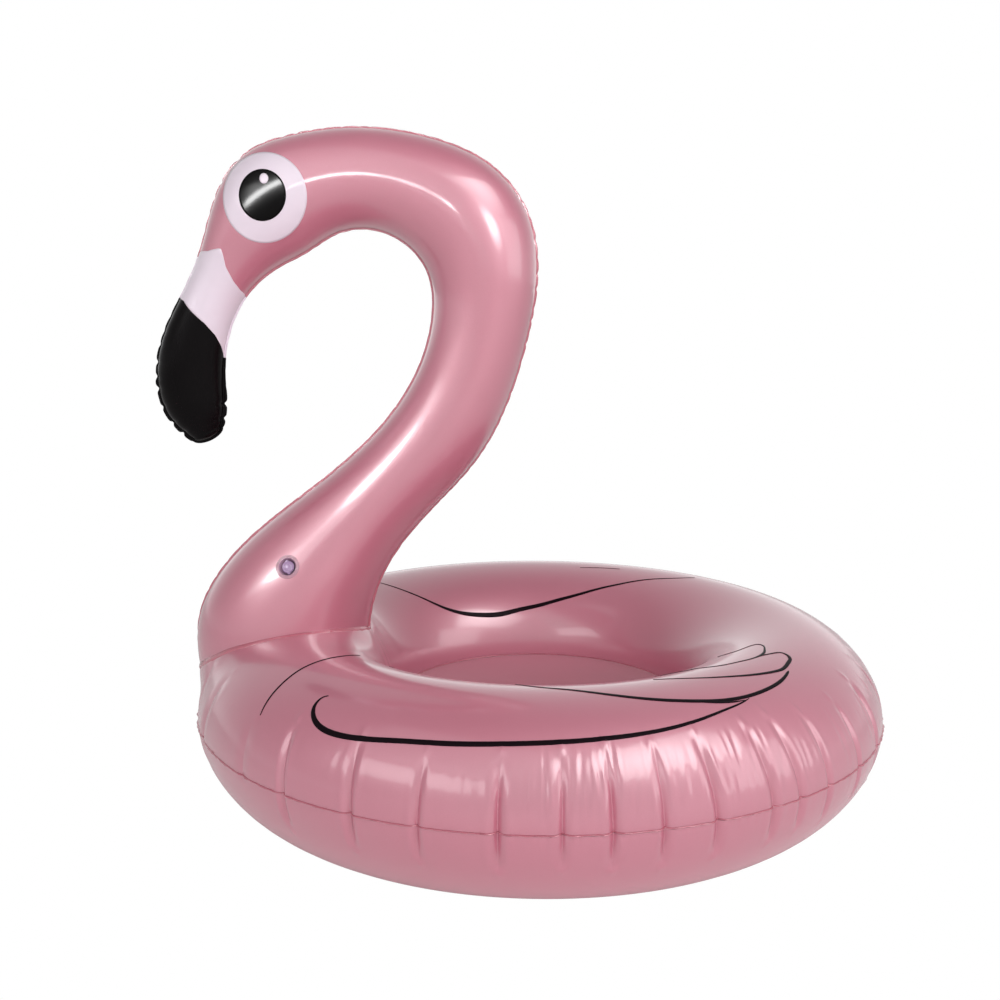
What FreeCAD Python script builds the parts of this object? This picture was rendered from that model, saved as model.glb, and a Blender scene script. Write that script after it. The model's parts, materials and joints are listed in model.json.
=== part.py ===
import FreeCAD, Part
import math
import os

# Inflatable swim ring with a wading bird's neck, head and hooked beak.
# Frame: +Z up, -X is forward (the way the bird looks), -Y is the bird's left.
# The origin is the centre of the ring on the floor plane it rests on. Millimetres.

Vector = FreeCAD.Vector

# ---------------------------------------------------------------- ring dimensions
RING_OUT_R = 475.0          # outer equator radius of the inflated ring
TUBE_HALF_W = 135.2         # half width of the ring's tube, measured radially
TUBE_UP = 118.3             # tube height above the mid seam
TUBE_DOWN = 123.4           # tube height below the mid seam, down to the floor
TUBE_EXP = 1.91             # section exponent: 2 is an ellipse, less is more lemon-like
FLOOR_FLAT = 15.0           # half width of the flat contact band under the tube
TUBE_R = RING_OUT_R - TUBE_HALF_W         # radius of the tube's centre circle
RING_IN_R = RING_OUT_R - 2 * TUBE_HALF_W  # inner equator radius
MID_Z = TUBE_DOWN                         # height of the ring's seams

# ---------------------------------------------------------------- film, seams and ink
FILM = 2.0                  # modelled film thickness (nominal film is 0.3)
SEAM_T = 2.0                # thickness of the modelled weld flanges
SEAM_LAP = 3.0              # how far a seam reaches into the body
OUTER_FLANGE = 4.0          # how far the ring's outer weld stands out
INNER_FLANGE = 3.5          # how far the ring's inner weld stands in
NECK_FLANGE = 3.5           # how far the neck's edge weld stands out
WELD_T = 1.2                # height of the foot weld and valve flanges above the film
WELD_W = 6.0                # width of the neck's foot weld
PRINT_T = 0.4               # modelled thickness of the printed ink areas
GAP = 0.02                  # gap between a film and what lies on it
FIT_GAP = 0.05              # gap between the valve's pieces, and round the neck's foot
MIN_VOLUME = 0.5            # smaller boolean scraps are dropped
MIN_LINE_VOLUME = 1.0       # the same for the printed lines

# ---------------------------------------------------------------- valve dimensions
# Valve frame: origin on the film, +Z out of the film, +X towards the strap.
FLANGE_R = 17.5
RECESS_R = 11.5
HOLE_R = RECESS_R + 0.9     # hole in the film
STEM_R = 5.5
BORE_R = 3.0
STEM_DEPTH = 16.0
COLLAR_R = 8.6
CAP_R = 7.6
STRAP_BEND_X = 8.8
MOUTH_Z = -2.6
SLEEVE_TRIM = 8.0           # depth above the film in which the sleeve is cut away

RING_VALVE_AZIMUTH = math.radians(160.0)
RING_VALVE_ANGLE = math.radians(58.0)    # round the tube section, up from the outer seam
NECK_VALVE_X = -339.3
NECK_VALVE_Z = 208.5                     # above the mid seam

# ---------------------------------------------------------------- neck, head and beak
# Stations from the foot to the beak's tip. Columns: back edge x, z, front edge x, z in the
# bird's middle plane (z above the mid seam), then the half thickness across.
STATIONS = [
    (-240.5, 62.0, -473.0, 2.0, 105.0),
    (-238.8, 87.7, -481.8, 43.1, 108.0),
    (-237.6, 105.2, -485.6, 84.3, 109.0),
    (-235.1, 122.5, -480.1, 125.1, 107.0),
    (-231.2, 139.6, -463.4, 162.8, 103.0),
    (-226.0, 156.3, -439.4, 196.5, 98.0),
    (-219.4, 172.6, -411.2, 226.7, 92.0),
    (-211.6, 188.3, -380.2, 254.1, 85.0),
    (-202.7, 203.4, -347.8, 279.8, 78.5),
    (-192.9, 217.9, -314.9, 304.9, 73.0),
    (-182.4, 231.7, -282.8, 330.4, 69.0),
    (-158.9, 258.9, -256.7, 353.0, 66.5),
    (-133.5, 285.6, -233.2, 375.6, 65.5),
    (-107.9, 312.8, -212.9, 398.2, 65.5),
    (-84.1, 342.0, -195.6, 420.8, 65.5),
    (-63.8, 373.9, -181.0, 443.7, 65.5),
    (-47.0, 408.3, -168.9, 467.1, 65.0),
    (-33.1, 444.6, -159.2, 491.7, 65.0),
    (-21.4, 482.7, -152.1, 517.9, 65.0),
    (-11.2, 523.2, -148.2, 544.8, 66.0),
    (-3.4, 566.6, -148.2, 569.6, 67.5),
    (-1.4, 613.6, -152.0, 589.7, 69.5),
    (-10.0, 664.2, -157.4, 603.1, 71.0),
    (-35.8, 711.9, -163.0, 612.4, 71.5),
    (-74.2, 746.5, -172.4, 623.8, 70.5),
    (-118.6, 767.8, -186.7, 635.8, 68.5),
    (-164.1, 780.6, -205.2, 645.9, 67.0),
    (-209.8, 787.9, -225.8, 651.7, 66.0),
    (-255.7, 789.6, -246.4, 652.6, 66.0),
    (-300.8, 785.5, -266.7, 648.7, 67.0),
    (-345.2, 776.6, -286.1, 640.1, 68.5),
    (-387.7, 760.1, -304.3, 628.3, 69.0),
    (-420.8, 729.6, -323.7, 617.1, 65.5),
    (-441.1, 689.2, -346.2, 606.1, 57.5),
    (-454.2, 648.9, -369.9, 591.2, 47.5),
    (-466.8, 612.2, -391.6, 571.0, 39.5),
    (-482.6, 578.9, -409.0, 546.1, 35.0),
    (-499.9, 546.9, -421.3, 518.1, 33.5),
    (-515.2, 514.3, -428.6, 489.0, 33.5),
    (-525.0, 477.2, -431.5, 463.0, 33.0),
    (-524.5, 435.8, -432.4, 440.4, 30.5),
    (-508.4, 395.1, -432.8, 416.6, 24.5),
    (-473.3, 363.3, -439.2, 381.6, 11.0),
]
FOOT = 0.0                           # lowest station
SPLIT = 4.55                         # where the foot skirt ends and the neck body starts
TIP = float(len(STATIONS) - 1)       # where the edge weld ends, round the beak's tip
FILM_END = TIP - 0.15                # where the film ends
SEAM_SHIFT = 0.3                     # stations the seams' inner outlines are shifted at an end
WELD_TOP = 4.0                       # last station of the shape that bounds the foot weld
MIN_STATION_STEP = 0.2               # stations nearer than this to an end are skipped
STATIONS_PER_STRETCH = 9.0
SECTION_POINTS = 17                  # points across one side of a neck section
TUBE_STEPS = 40                      # steps along a tube section curve
ANGLE_EPS = 1e-6                     # keeps section curves off the seams and the floor line
SIDES = {"left": -1.0, "right": 1.0}     # sign of y

# ---------------------------------------------------------------- printed areas
# Outlines in the bird's middle plane: (x, z above the mid seam), or half sizes along x and z.
EYE_CENTRE, EYE_HALF = (-371.0, 697.0), (55.0, 59.0)
PUPIL_CENTRE, PUPIL_HALF = (-373.0, 699.0), (31.0, 33.5)
# Upper end of the white area, and the line where white meets black.
BEAK_ROOT_LINE = [(-456, 620), (-431, 630), (-428, 621), (-424, 604), (-413, 584), (-399, 566)]
BEAK_BLACK_LINE = [(-484, 562), (-472, 546), (-454, 530), (-439, 514), (-430, 498), (-426, 484)]
# The other corners stand clear of the beak.
BEAK_WHITE = (BEAK_ROOT_LINE + [(-380, 540), (-410, 470)]
              + BEAK_BLACK_LINE[::-1] + [(-540, 590), (-490, 640)])
BEAK_BLACK = BEAK_BLACK_LINE + [(-400, 430), (-420, 340), (-500, 340), (-560, 430), (-540, 590)]
PRINT_NEAR_Y, PRINT_FAR_Y = 5.0, 90.0    # reach across of the prisms that cut out the ink

# Printed wing lines on the ring for the bird's left side: (radius, azimuth in degrees,
# half width). The right side mirrors those named for it.
LINES = {
    "chest": [(444, 219.5, 1.5), (430, 218.8, 1.5), (409, 218.3, 1.5), (384, 217.9, 1.5),
              (355, 218.0, 1.5), (326, 217.9, 1.5), (291, 215.2, 1.5), (241, 206.0, 1.5)],
    "wing": [(407, 229.7, 1.5), (418, 229.4, 1.8), (426, 230.0, 2.2), (434, 231.5, 2.5),
             (439, 233.6, 2.7), (441, 236.4, 2.8), (440, 241.1, 2.8), (436, 247.6, 2.8),
             (433, 255.3, 2.8), (430, 262.7, 2.8), (427, 271.6, 2.7), (424, 280.7, 2.5),
             (421, 287.2, 2.3), (415, 294.6, 2.0), (409, 300.1, 1.7), (404, 304.6, 1.5)],
    "feather_1": [(301, 263.1, 1.5), (318, 266.6, 1.6), (333, 272.7, 1.9), (353, 280.0, 2.2),
                  (375, 288.4, 2.4), (388, 295.4, 2.4), (395, 300.8, 2.2), (398, 306.1, 2.0),
                  (397, 311.3, 1.9), (394, 316.4, 1.7), (388, 320.4, 1.5)],
    "feather_2": [(320, 293.8, 1.5), (345, 302.5, 1.6), (358, 308.0, 1.8), (370, 313.9, 2.0),
                  (380, 320.7, 2.0), (376, 325.4, 2.0), (365, 329.1, 1.8), (358, 329.3, 1.7),
                  (348, 327.2, 1.5), (339, 323.0, 1.5)],
    "feather_3": [(299, 308.3, 1.5), (318, 311.1, 1.5), (325, 313.5, 1.5), (332, 317.7, 1.5),
                  (336, 320.4, 1.6), (337, 325.1, 1.7), (333, 329.6, 1.6), (326, 332.5, 1.5),
                  (317, 333.6, 1.5), (304, 330.9, 1.5), (292, 327.3, 1.5)],
    "back": [(317, 219.9, 1.5), (288, 222.9, 1.8), (264, 227.1, 2.2), (244, 232.6, 2.6),
             (232, 239.7, 2.9), (227, 247.8, 3.0), (226, 256.1, 3.0), (230, 264.4, 3.0),
             (235, 272.4, 2.8), (243, 279.9, 2.6), (253, 287.0, 2.3), (266, 293.5, 2.0),
             (280, 299.6, 1.8), (296, 305.1, 1.6), (311, 310.4, 1.5), (327, 315.2, 1.5)],
    "back_edge": [(319, 284.2, 1.5), (324, 290.0, 1.5), (327, 295.8, 1.5), (331, 300.3, 1.5),
                  (335, 305.5, 1.5)],
}
LINES["wing_short"] = LINES["wing"][:11]
SIDE_LINES = {"left": ("chest", "wing", "feather_1", "feather_2", "feather_3", "back"),
              "right": ("chest", "wing_short", "back", "back_edge")}
STROKE_STEPS = 6            # steps between two points of a line
STROKE_SPAN = 3             # steps in one edge of a line's outline
STROKE_Z = MID_Z + 5        # bottom of the prisms that cut out the lines
STROKE_HEIGHT = 200


# ---------------------------------------------------------------- helpers
def save(name, shape):
    """Write a piece as parts/NAME.step: a single solid, or a compound of its solids."""
    solids = [solid for solid in shape.Solids if solid.Volume > MIN_VOLUME]
    piece = solids[0] if len(solids) == 1 else Part.makeCompound(solids)
    piece.exportStep(os.path.join("parts", name + ".step"))


def curve(points):
    spline = Part.BSplineCurve()
    spline.interpolate(points)
    return spline


def line(start, end):
    return Part.makeLine(start, end)


def sorted_face(edges):
    return Part.Face(Part.Wire(Part.__sortEdges__(edges)))


def spin(face):
    return face.revolve(Vector(0, 0, 0), Vector(0, 0, 1), 360)


def end_points(edges):
    return [vertex.Point for edge in edges for vertex in edge.Vertexes]


# ---------------------------------------------------------------- tube of the ring
def tube_point(angle, offset, top):
    """Point (radius, z) of the tube's upper or lower half, moved along the outward normal.

    The angle is 0 at the outer seam, pi at the inner one. The halves stand SEAM_T / 2 off
    the mid plane."""
    flat = 0.0 if top else FLOOR_FLAT
    half_width = TUBE_HALF_W - flat
    height = (TUBE_UP if top else TUBE_DOWN) - SEAM_T / 2
    power = 2.0 / TUBE_EXP
    cosine = math.cos(angle)
    x = math.copysign(half_width * abs(cosine) ** power, cosine)
    z = height * abs(math.sin(angle)) ** power
    # normal of |x / half_width| ^ TUBE_EXP + |z / height| ^ TUBE_EXP = 1
    normal_x = math.copysign(abs(x / half_width) ** (TUBE_EXP - 1) / half_width, x)
    normal_z = abs(z / height) ** (TUBE_EXP - 1) / height
    length = math.hypot(normal_x, normal_z)
    x += math.copysign(flat, cosine) + offset * normal_x / length
    z += offset * normal_z / length
    sign = 1.0 if top else -1.0
    return TUBE_R + x, MID_Z + sign * (SEAM_T / 2 + z)


def tube_edge(offset, top, start, end):
    """Spline along the tube section between two angles, in the XZ plane.

    Points bunch up at both ends, as the section turns fastest near the seams."""
    points = []
    for i in range(TUBE_STEPS + 1):
        share = 0.5 - 0.5 * math.cos(math.pi * i / TUBE_STEPS)
        radius, z = tube_point(start + (end - start) * share, offset, top)
        points.append(Vector(radius, 0, z))
    return curve(points).toShape()


def tube_section(offset, top):
    """Edges of half the tube's section, from seam to seam. The lower one has a flat."""
    if top:
        return [tube_edge(offset, top, ANGLE_EPS, math.pi - ANGLE_EPS)]
    outer = tube_edge(offset, top, ANGLE_EPS, math.pi / 2 - ANGLE_EPS)
    inner = tube_edge(offset, top, math.pi / 2 + ANGLE_EPS, math.pi - ANGLE_EPS)
    lowest = [min(end_points([edge]), key=lambda p: p.z) for edge in (outer, inner)]
    return [outer, line(*lowest), inner]


def tube_shell(low, high, top):
    """Film of revolution between two offsets of the tube's upper or lower half."""
    outside, inside = tube_section(high, top), tube_section(low, top)
    far_out, near_out = [pick(end_points(outside), key=lambda p: p.x) for pick in (max, min)]
    far_in, near_in = [pick(end_points(inside), key=lambda p: p.x) for pick in (max, min)]
    return spin(sorted_face(outside + [line(near_out, near_in)]
                            + inside + [line(far_in, far_out)]))


def tube_fill():
    """Filled upper half of the tube, used only for trimming."""
    section = tube_section(0.0, True)
    near, far = sorted(end_points(section), key=lambda p: p.x)
    near_low, far_low = Vector(near.x, 0, MID_Z), Vector(far.x, 0, MID_Z)
    return spin(sorted_face(section + [line(near, near_low), line(near_low, far_low),
                                       line(far_low, far)]))


def ring_seam(inner_radius, outer_radius):
    """Flat band about Z at the height of the ring's seams."""
    z = MID_Z - SEAM_T / 2
    return Part.makeCylinder(outer_radius, SEAM_T, Vector(0, 0, z)).cut(
        Part.makeCylinder(inner_radius, SEAM_T + 2, Vector(0, 0, z - 1)))


# ---------------------------------------------------------------- surfaces of the neck
def station(position):
    """Row of STATIONS at a fractional position, by a cubic through its neighbours."""
    last = len(STATIONS) - 1
    index = min(int(math.floor(position)), last - 1)
    f = position - index
    rows = [STATIONS[min(max(index + k, 0), last)] for k in (-1, 0, 1, 2)]
    return [b + 0.5 * f * (c - a + f * (2 * a - 5 * b + 4 * c - d + f * (3 * (b - c) + d - a)))
            for a, b, c, d in zip(*rows)]


def neck_point(position, angle, offset, side):
    """Point of the neck's surface. Angle 0 is the back edge, pi the front edge."""
    back_x, back_z, front_x, front_z, thickness = station(position)
    centre_x, centre_z = (back_x + front_x) / 2, (back_z + front_z) / 2
    way_x, way_z = (back_x - front_x) / 2, (back_z - front_z) / 2
    width = math.hypot(way_x, way_z)
    way_x, way_z = way_x / width, way_z / width
    width = max(width - NECK_FLANGE, 2.0) + offset
    thickness = max(thickness - SEAM_T / 2, 2.0) + offset
    cosine = math.cos(angle)
    return Vector(centre_x + way_x * width * cosine,
                  side * (SEAM_T / 2 + thickness * math.sin(angle)),
                  MID_Z + centre_z + way_z * width * cosine)


def neck_positions(start, end):
    """Both ends and the whole stations between them that are not too near an end."""
    whole = [float(k) for k in range(math.floor(start) + 1, math.ceil(end))
             if k - start > MIN_STATION_STEP and end - k > MIN_STATION_STEP]
    return [start] + whole + [end]


def neck_surface(start, end, offset, side):
    rows = [[neck_point(position, math.pi * j / (SECTION_POINTS - 1), offset, side)
             for j in range(SECTION_POINTS)]
            for position in neck_positions(start, end)]
    surface = Part.BSplineSurface()
    surface.interpolate(rows)
    return surface


def stretches(surface, count):
    """The surface cut along its length into stretches, so that every wall sews cleanly."""
    u0, u1, v0, v1 = surface.bounds()
    pieces = []
    for i in range(count):
        piece = surface.copy()
        piece.segment(u0 + (u1 - u0) * i / count, u0 + (u1 - u0) * (i + 1) / count, v0, v1)
        pieces.append(piece)
    return pieces


def border_edges(surface):
    """Edges of a surface: first section, last section, back edge, front edge."""
    u0, u1, v0, v1 = surface.bounds()
    return [surface.uIso(u0).toShape(), surface.uIso(u1).toShape(),
            surface.vIso(v0).toShape(), surface.vIso(v1).toShape()]


def stitched(faces):
    shell = Part.makeShell(faces)
    shell.sewShape()
    solid = Part.makeSolid(shell if shell.ShapeType == "Shell" else shell.Shells[0])
    if solid.Volume < 0:
        solid.reverse()
    return solid


def neck_skin(start, end, low, high, side):
    """Film between two offsets of one side of the neck, between two stations."""
    count = max(1, int(round((end - start) / STATIONS_PER_STRETCH)))
    outer = stretches(neck_surface(start, end, high, side), count)
    inner = stretches(neck_surface(start, end, low, side), count)
    faces = []
    for i, (outside, inside) in enumerate(zip(outer, inner)):
        walls = list(zip(border_edges(outside), border_edges(inside)))
        faces += [outside.toShape(), inside.toShape()]
        faces += [Part.makeRuledSurface(*wall) for wall in walls[2:]]
        if i == 0:
            faces.append(Part.makeRuledSurface(*walls[0]))
        if i == count - 1:
            faces.append(Part.makeRuledSurface(*walls[1]))
    return stitched(faces)


def body_skin(low, high, side):
    """Film on one side of the neck body, head and beak."""
    return neck_skin(SPLIT, FILM_END, low, high, side)


def neck_fill(start, end, offset, side):
    """One side of the neck as a filled solid, used only for shaping the foot weld."""
    surface = neck_surface(start, end, offset, side)
    first, last, back, front = border_edges(surface)
    middle = Part.makeRuledSurface(back, front)
    caps = [sorted_face([edge, line(*end_points([edge]))]) for edge in (first, last)]
    return stitched([surface.toShape(), middle] + caps)


def neck_slab(start, end, offset, thickness):
    """Plate on the middle plane with the neck's outline, offset from its body."""
    positions = neck_positions(start, end)
    back = [neck_point(position, 0.0, offset, 0.0) for position in positions]
    front = [neck_point(position, math.pi, offset, 0.0) for position in positions]
    face = sorted_face([curve(back).toShape(), curve(front).toShape(),
                        line(back[0], front[0]), line(back[-1], front[-1])])
    slab = face.extrude(Vector(0, thickness, 0))
    slab.translate(Vector(0, -thickness / 2, 0))
    return slab


# ---------------------------------------------------------------- valve pieces
def lathe(profile):
    """Solid of revolution about Z from a closed (radius, z) polygon."""
    points = [Vector(radius, 0, z) for radius, z in profile]
    return spin(Part.Face(Part.makePolygon(points + [points[0]])))


def valve_sleeve():
    return lathe([(HOLE_R, 3.0), (RECESS_R - 0.1, 3.0), (RECESS_R - 0.5, -3.0),
                  (STEM_R + 1.0, -13.2), (STEM_R, -13.2), (STEM_R, -14.2),
                  (STEM_R + 2.0, -14.2), (RECESS_R + 0.5, -3.6)])


def valve_stem():
    """Tube with a collar round its mouth."""
    top = MOUTH_Z - FIT_GAP
    return lathe([(BORE_R, -STEM_DEPTH), (STEM_R, -STEM_DEPTH), (STEM_R, MOUTH_Z - 2.4),
                  (COLLAR_R, MOUTH_Z - 1.4), (COLLAR_R, top), (BORE_R, top)])


def valve_plug():
    """Plug and cap, with a rounded pull tab opposite the strap."""
    plug = lathe([(0, MOUTH_Z - 5.0), (1.75, MOUTH_Z - 5.0), (2.35, MOUTH_Z - 2.6),
                  (2.93, MOUTH_Z), (CAP_R - 0.3, MOUTH_Z), (CAP_R, MOUTH_Z + 0.3),
                  (CAP_R, MOUTH_Z + 1.1), (CAP_R - 0.5, MOUTH_Z + 1.6),
                  (3.2, MOUTH_Z + 1.6), (2.6, MOUTH_Z + 1.2), (0, MOUTH_Z + 1.2)])
    tab = Part.makeBox(3.6, 5.0, 1.1, Vector(-CAP_R - 2.4, -2.5, MOUTH_Z + 0.1))
    upright = [edge for edge in tab.Edges
               if abs(edge.Vertexes[0].Point.z - edge.Vertexes[-1].Point.z) > 0.5]
    return plug.fuse(tab.makeFillet(1.0, upright)).removeSplitter()


def valve_strap():
    """Thin strip from the cap's edge to the collar's edge, looped outward."""
    width = 4.0
    cap_x, collar_x = CAP_R + GAP, COLLAR_R + GAP
    # (x, z above the mouth) along the inside and the outside of the loop
    inside = [(cap_x, 0.45), (STRAP_BEND_X + 0.6, 0.35), (STRAP_BEND_X + 1.1, -0.5),
              (STRAP_BEND_X + 0.7, -1.0), (collar_x, -1.0)]
    outside = [(cap_x, 0.95), (STRAP_BEND_X + 0.8, 0.85), (STRAP_BEND_X + 1.6, -0.4),
               (STRAP_BEND_X + 0.9, -1.35), (collar_x, -1.35)]
    inside, outside = [[Vector(x, 0, MOUTH_Z + z) for x, z in points]
                       for points in (inside, outside)]
    wire = Part.Wire([curve(inside).toShape(), line(inside[-1], outside[-1]),
                      curve(outside[::-1]).toShape(), line(outside[0], inside[0])])
    strap = Part.Face(wire).extrude(Vector(0, width, 0))
    strap.translate(Vector(0, -width / 2, 0))
    return strap


def valve_flap():
    """Disc under the stem's inner end, with a lug on the strap's side."""
    radius, thickness = 3.9, 0.6
    top = -STEM_DEPTH - FIT_GAP
    bottom = top - thickness
    disc = lathe([(0, bottom), (radius, bottom), (radius, top), (0, top)])
    lug = Part.makeBox(1.3, 3.0, thickness, Vector(radius - 0.5, -1.5, bottom))
    return disc.fuse(lug).removeSplitter()


# ---------------------------------------------------------------- valve places
# A site is a valve's origin, the film's outward normal there, and the strap's rough direction.
def ring_valve_site():
    """On the tube's upper outside, beside the neck on the bird's right."""
    outward = Vector(math.cos(RING_VALVE_AZIMUTH), math.sin(RING_VALVE_AZIMUTH), 0)
    up = Vector(0, 0, 1)
    radius, z = tube_point(RING_VALVE_ANGLE, 0.0, True)
    raised_radius, raised_z = tube_point(RING_VALVE_ANGLE, 1.0, True)
    normal = outward * (raised_radius - radius) + up * (raised_z - z)
    normal.normalize()
    return outward * radius + up * z, normal, outward - up


def neck_valve_site():
    """On the bird's left breast, where a line along Y meets the film."""
    surface = neck_surface(SPLIT, FILM_END, 0.0, SIDES["left"])
    z = MID_Z + NECK_VALVE_Z
    probe = line(Vector(NECK_VALVE_X, -400, z), Vector(NECK_VALVE_X, -20, z))
    origin = surface.toShape().distToShape(probe)[1][0][0]
    normal = Vector(surface.normal(*surface.parameter(origin)))
    if normal.y > 0:
        normal = normal * -1.0
    normal.normalize()
    return origin, normal, Vector(0.25, 0, -1.0)


def site_placement(site):
    """Placement that takes the valve's frame to a site."""
    origin, normal, strap_way = site
    along = strap_way - normal * strap_way.dot(normal)
    along.normalize()
    across = normal.cross(along)
    return FreeCAD.Placement(FreeCAD.Matrix(
        along.x, across.x, normal.x, origin.x,
        along.y, across.y, normal.y, origin.y,
        along.z, across.z, normal.z, origin.z,
        0, 0, 0, 1))


def site_cylinder(site, radius, back, ahead):
    origin, normal, _ = site
    return Part.makeCylinder(radius, back + ahead, origin - normal * back, normal)


def with_valve_hole(panel, site):
    return panel.cut(site_cylinder(site, HOLE_R, 30, 20))


def save_valve(key, site, weld_film, above):
    """Flange cut from the weld film, and the valve's pieces, the sleeve trimmed by above."""
    annulus = site_cylinder(site, FLANGE_R, 20, 20).cut(site_cylinder(site, RECESS_R, 25, 25))
    save(key + "_valve_flange", weld_film.common(annulus))
    placement = site_placement(site)
    pieces = {"sleeve": valve_sleeve(), "stem": valve_stem(), "plug": valve_plug(),
              "strap": valve_strap(), "flap": valve_flap()}
    for name, piece in pieces.items():
        piece.Placement = placement.multiply(piece.Placement)
        if name == "sleeve":
            piece = piece.cut(above)
        save("%s_valve_%s" % (key, name), piece)


# ---------------------------------------------------------------- ring and neck
def save_ring(valve_site):
    save("ring_top_panel", with_valve_hole(tube_shell(-FILM, 0.0, True), valve_site))
    save("ring_bottom_panel", tube_shell(-FILM, 0.0, False))
    save("ring_outer_seam", ring_seam(RING_OUT_R - SEAM_LAP, RING_OUT_R + OUTER_FLANGE))
    save("ring_inner_seam", ring_seam(RING_IN_R - INNER_FLANGE, RING_IN_R + SEAM_LAP))


def save_neck(valve_site):
    """Film panels, and the edge weld round neck, head and beak, open at the foot."""
    left, right = [body_skin(-FILM, 0.0, side) for side in SIDES.values()]
    save("neck_left_panel", with_valve_hole(left, valve_site))
    save("neck_right_panel", right)
    inside = neck_slab(SPLIT - SEAM_SHIFT, TIP - SEAM_SHIFT, -SEAM_LAP, SEAM_T + 4)
    save("neck_edge_seam", neck_slab(SPLIT, TIP, NECK_FLANGE, SEAM_T).cut(inside))


def save_foot():
    """Foot skirt: the lowest part of the neck's film and edge weld, down to the ring."""
    ring_fill = tube_fill()
    for name, side in SIDES.items():
        save("neck_foot_" + name, neck_skin(FOOT, SPLIT, -FILM, 0.0, side).cut(ring_fill))
    inside = neck_slab(FOOT, SPLIT + SEAM_SHIFT, -SEAM_LAP, SEAM_T + 4)
    seam = neck_slab(FOOT, SPLIT, NECK_FLANGE, SEAM_T).cut(inside)
    save("neck_foot_seam", seam.cut(ring_fill))


def save_foot_weld(weld_film):
    """Thin band on the ring's film round the neck."""
    grown = [neck_fill(FOOT, WELD_TOP, WELD_W, side) for side in SIDES.values()]
    middle = neck_slab(FOOT, WELD_TOP, WELD_W, SEAM_T)
    weld = grown[0].fuse([grown[1], middle]).common(weld_film)
    for side in SIDES.values():
        weld = weld.cut(neck_fill(FOOT, SPLIT, FIT_GAP, side))
    # leaves room for the edge weld's foot
    save("neck_foot_weld", weld.cut(neck_slab(FOOT, 4.2, NECK_FLANGE + 0.1, SEAM_T + 0.1)))


# ---------------------------------------------------------------- prints
def print_prism(points, side, smooth=False):
    """Polygon or closed spline in the XZ plane, drawn along Y through one side of the head."""
    start_y = -PRINT_FAR_Y if side < 0 else PRINT_NEAR_Y
    points = [Vector(x, start_y, MID_Z + z) for x, z in points]
    if smooth:
        spline = Part.BSplineCurve()
        spline.interpolate(points, True)
        face = Part.Face(Part.Wire(spline.toShape()))
    else:
        face = Part.Face(Part.makePolygon(points + [points[0]]))
    return face.extrude(Vector(0, PRINT_FAR_Y - PRINT_NEAR_Y, 0))


def oval(centre, half_size, count=16):
    angles = [2 * math.pi * i / count for i in range(count)]
    return [(centre[0] + half_size[0] * math.cos(angle),
             centre[1] + half_size[1] * math.sin(angle)) for angle in angles]


def save_head_prints(name, side):
    ink = body_skin(GAP, GAP + PRINT_T, side)
    pupil = print_prism(oval(PUPIL_CENTRE, PUPIL_HALF), side, smooth=True)
    eye = print_prism(oval(EYE_CENTRE, EYE_HALF), side, smooth=True)
    save("eye_white_" + name, ink.common(eye.cut(pupil)))
    save("eye_pupil_" + name, ink.common(pupil))
    save("beak_white_" + name, ink.common(print_prism(BEAK_WHITE, side)))
    save("beak_black_" + name, ink.common(print_prism(BEAK_BLACK, side)))


def spans(points):
    """A smooth curve through the points, split into short edges."""
    spline = curve(points)
    cuts = [spline.parameter(points[i]) for i in range(0, len(points), STROKE_SPAN)]
    cuts[0], cuts[-1] = spline.FirstParameter, spline.LastParameter
    return [spline.toShape(a, b) for a, b in zip(cuts, cuts[1:])]


def stroke(rows, mirror):
    """A drawn line of varying width, as a tall prism over the ring."""
    points = []
    for radius, degrees, _ in rows:
        azimuth = math.radians(degrees)
        y = radius * math.sin(azimuth)
        points.append(Vector(radius * math.cos(azimuth), -y if mirror else y, 0))
    spline = curve(points)
    first, last = spline.FirstParameter, spline.LastParameter
    gaps = len(rows) - 1
    steps = STROKE_STEPS * gaps
    left, right = [], []
    for i in range(steps + 1):
        parameter = first + (last - first) * i / steps
        point = spline.value(parameter)
        tangent = Vector(spline.tangent(parameter)[0])
        normal = Vector(-tangent.y, tangent.x, 0).normalize()
        place = gaps * i / steps
        j = min(int(place), gaps - 1)
        half_width = rows[j][2] + (rows[j + 1][2] - rows[j][2]) * (place - j)
        left.append(point + normal * half_width)
        right.append(point - normal * half_width)
    face = Part.Face(Part.Wire(spans(left) + [line(left[-1], right[-1])]
                               + spans(right[::-1]) + [line(right[0], left[0])]))
    face.translate(Vector(0, 0, STROKE_Z))
    return face.extrude(Vector(0, 0, STROKE_HEIGHT))


def save_wing_lines(name, side, ink):
    solids = []
    for key in SIDE_LINES[name]:
        printed = ink.common(stroke(LINES[key], mirror=side > 0))
        solids += [solid for solid in printed.Solids if solid.Volume > MIN_LINE_VOLUME]
    save("wing_lines_" + name, Part.makeCompound(solids))


# ---------------------------------------------------------------- build every piece
os.makedirs("parts", exist_ok=True)

ring_site, neck_site = ring_valve_site(), neck_valve_site()
ring_weld_film = tube_shell(GAP, WELD_T, True)
save_ring(ring_site)
save_neck(neck_site)
save_foot()
save_foot_weld(ring_weld_film)

ring_ink = tube_shell(GAP, GAP + PRINT_T, True)
for side_name, side_sign in SIDES.items():
    save_head_prints(side_name, side_sign)
    save_wing_lines(side_name, side_sign, ring_ink)

save_valve("ring", ring_site, ring_weld_film, tube_shell(-GAP, SLEEVE_TRIM, True))
save_valve("neck", neck_site, body_skin(GAP, WELD_T, SIDES["left"]),
           body_skin(-GAP, SLEEVE_TRIM, SIDES["left"]))
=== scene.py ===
"""Inflatable swim ring in the shape of a bird: a round tube with a welded neck and head.

Frame: +Z up, -X towards the beak, -Y the bird's left, origin on the floor under the ring's
centre. Metres. Azimuths run from +X towards +Y, so 270 degrees is the bird's left.
"""
import json
import math

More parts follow.
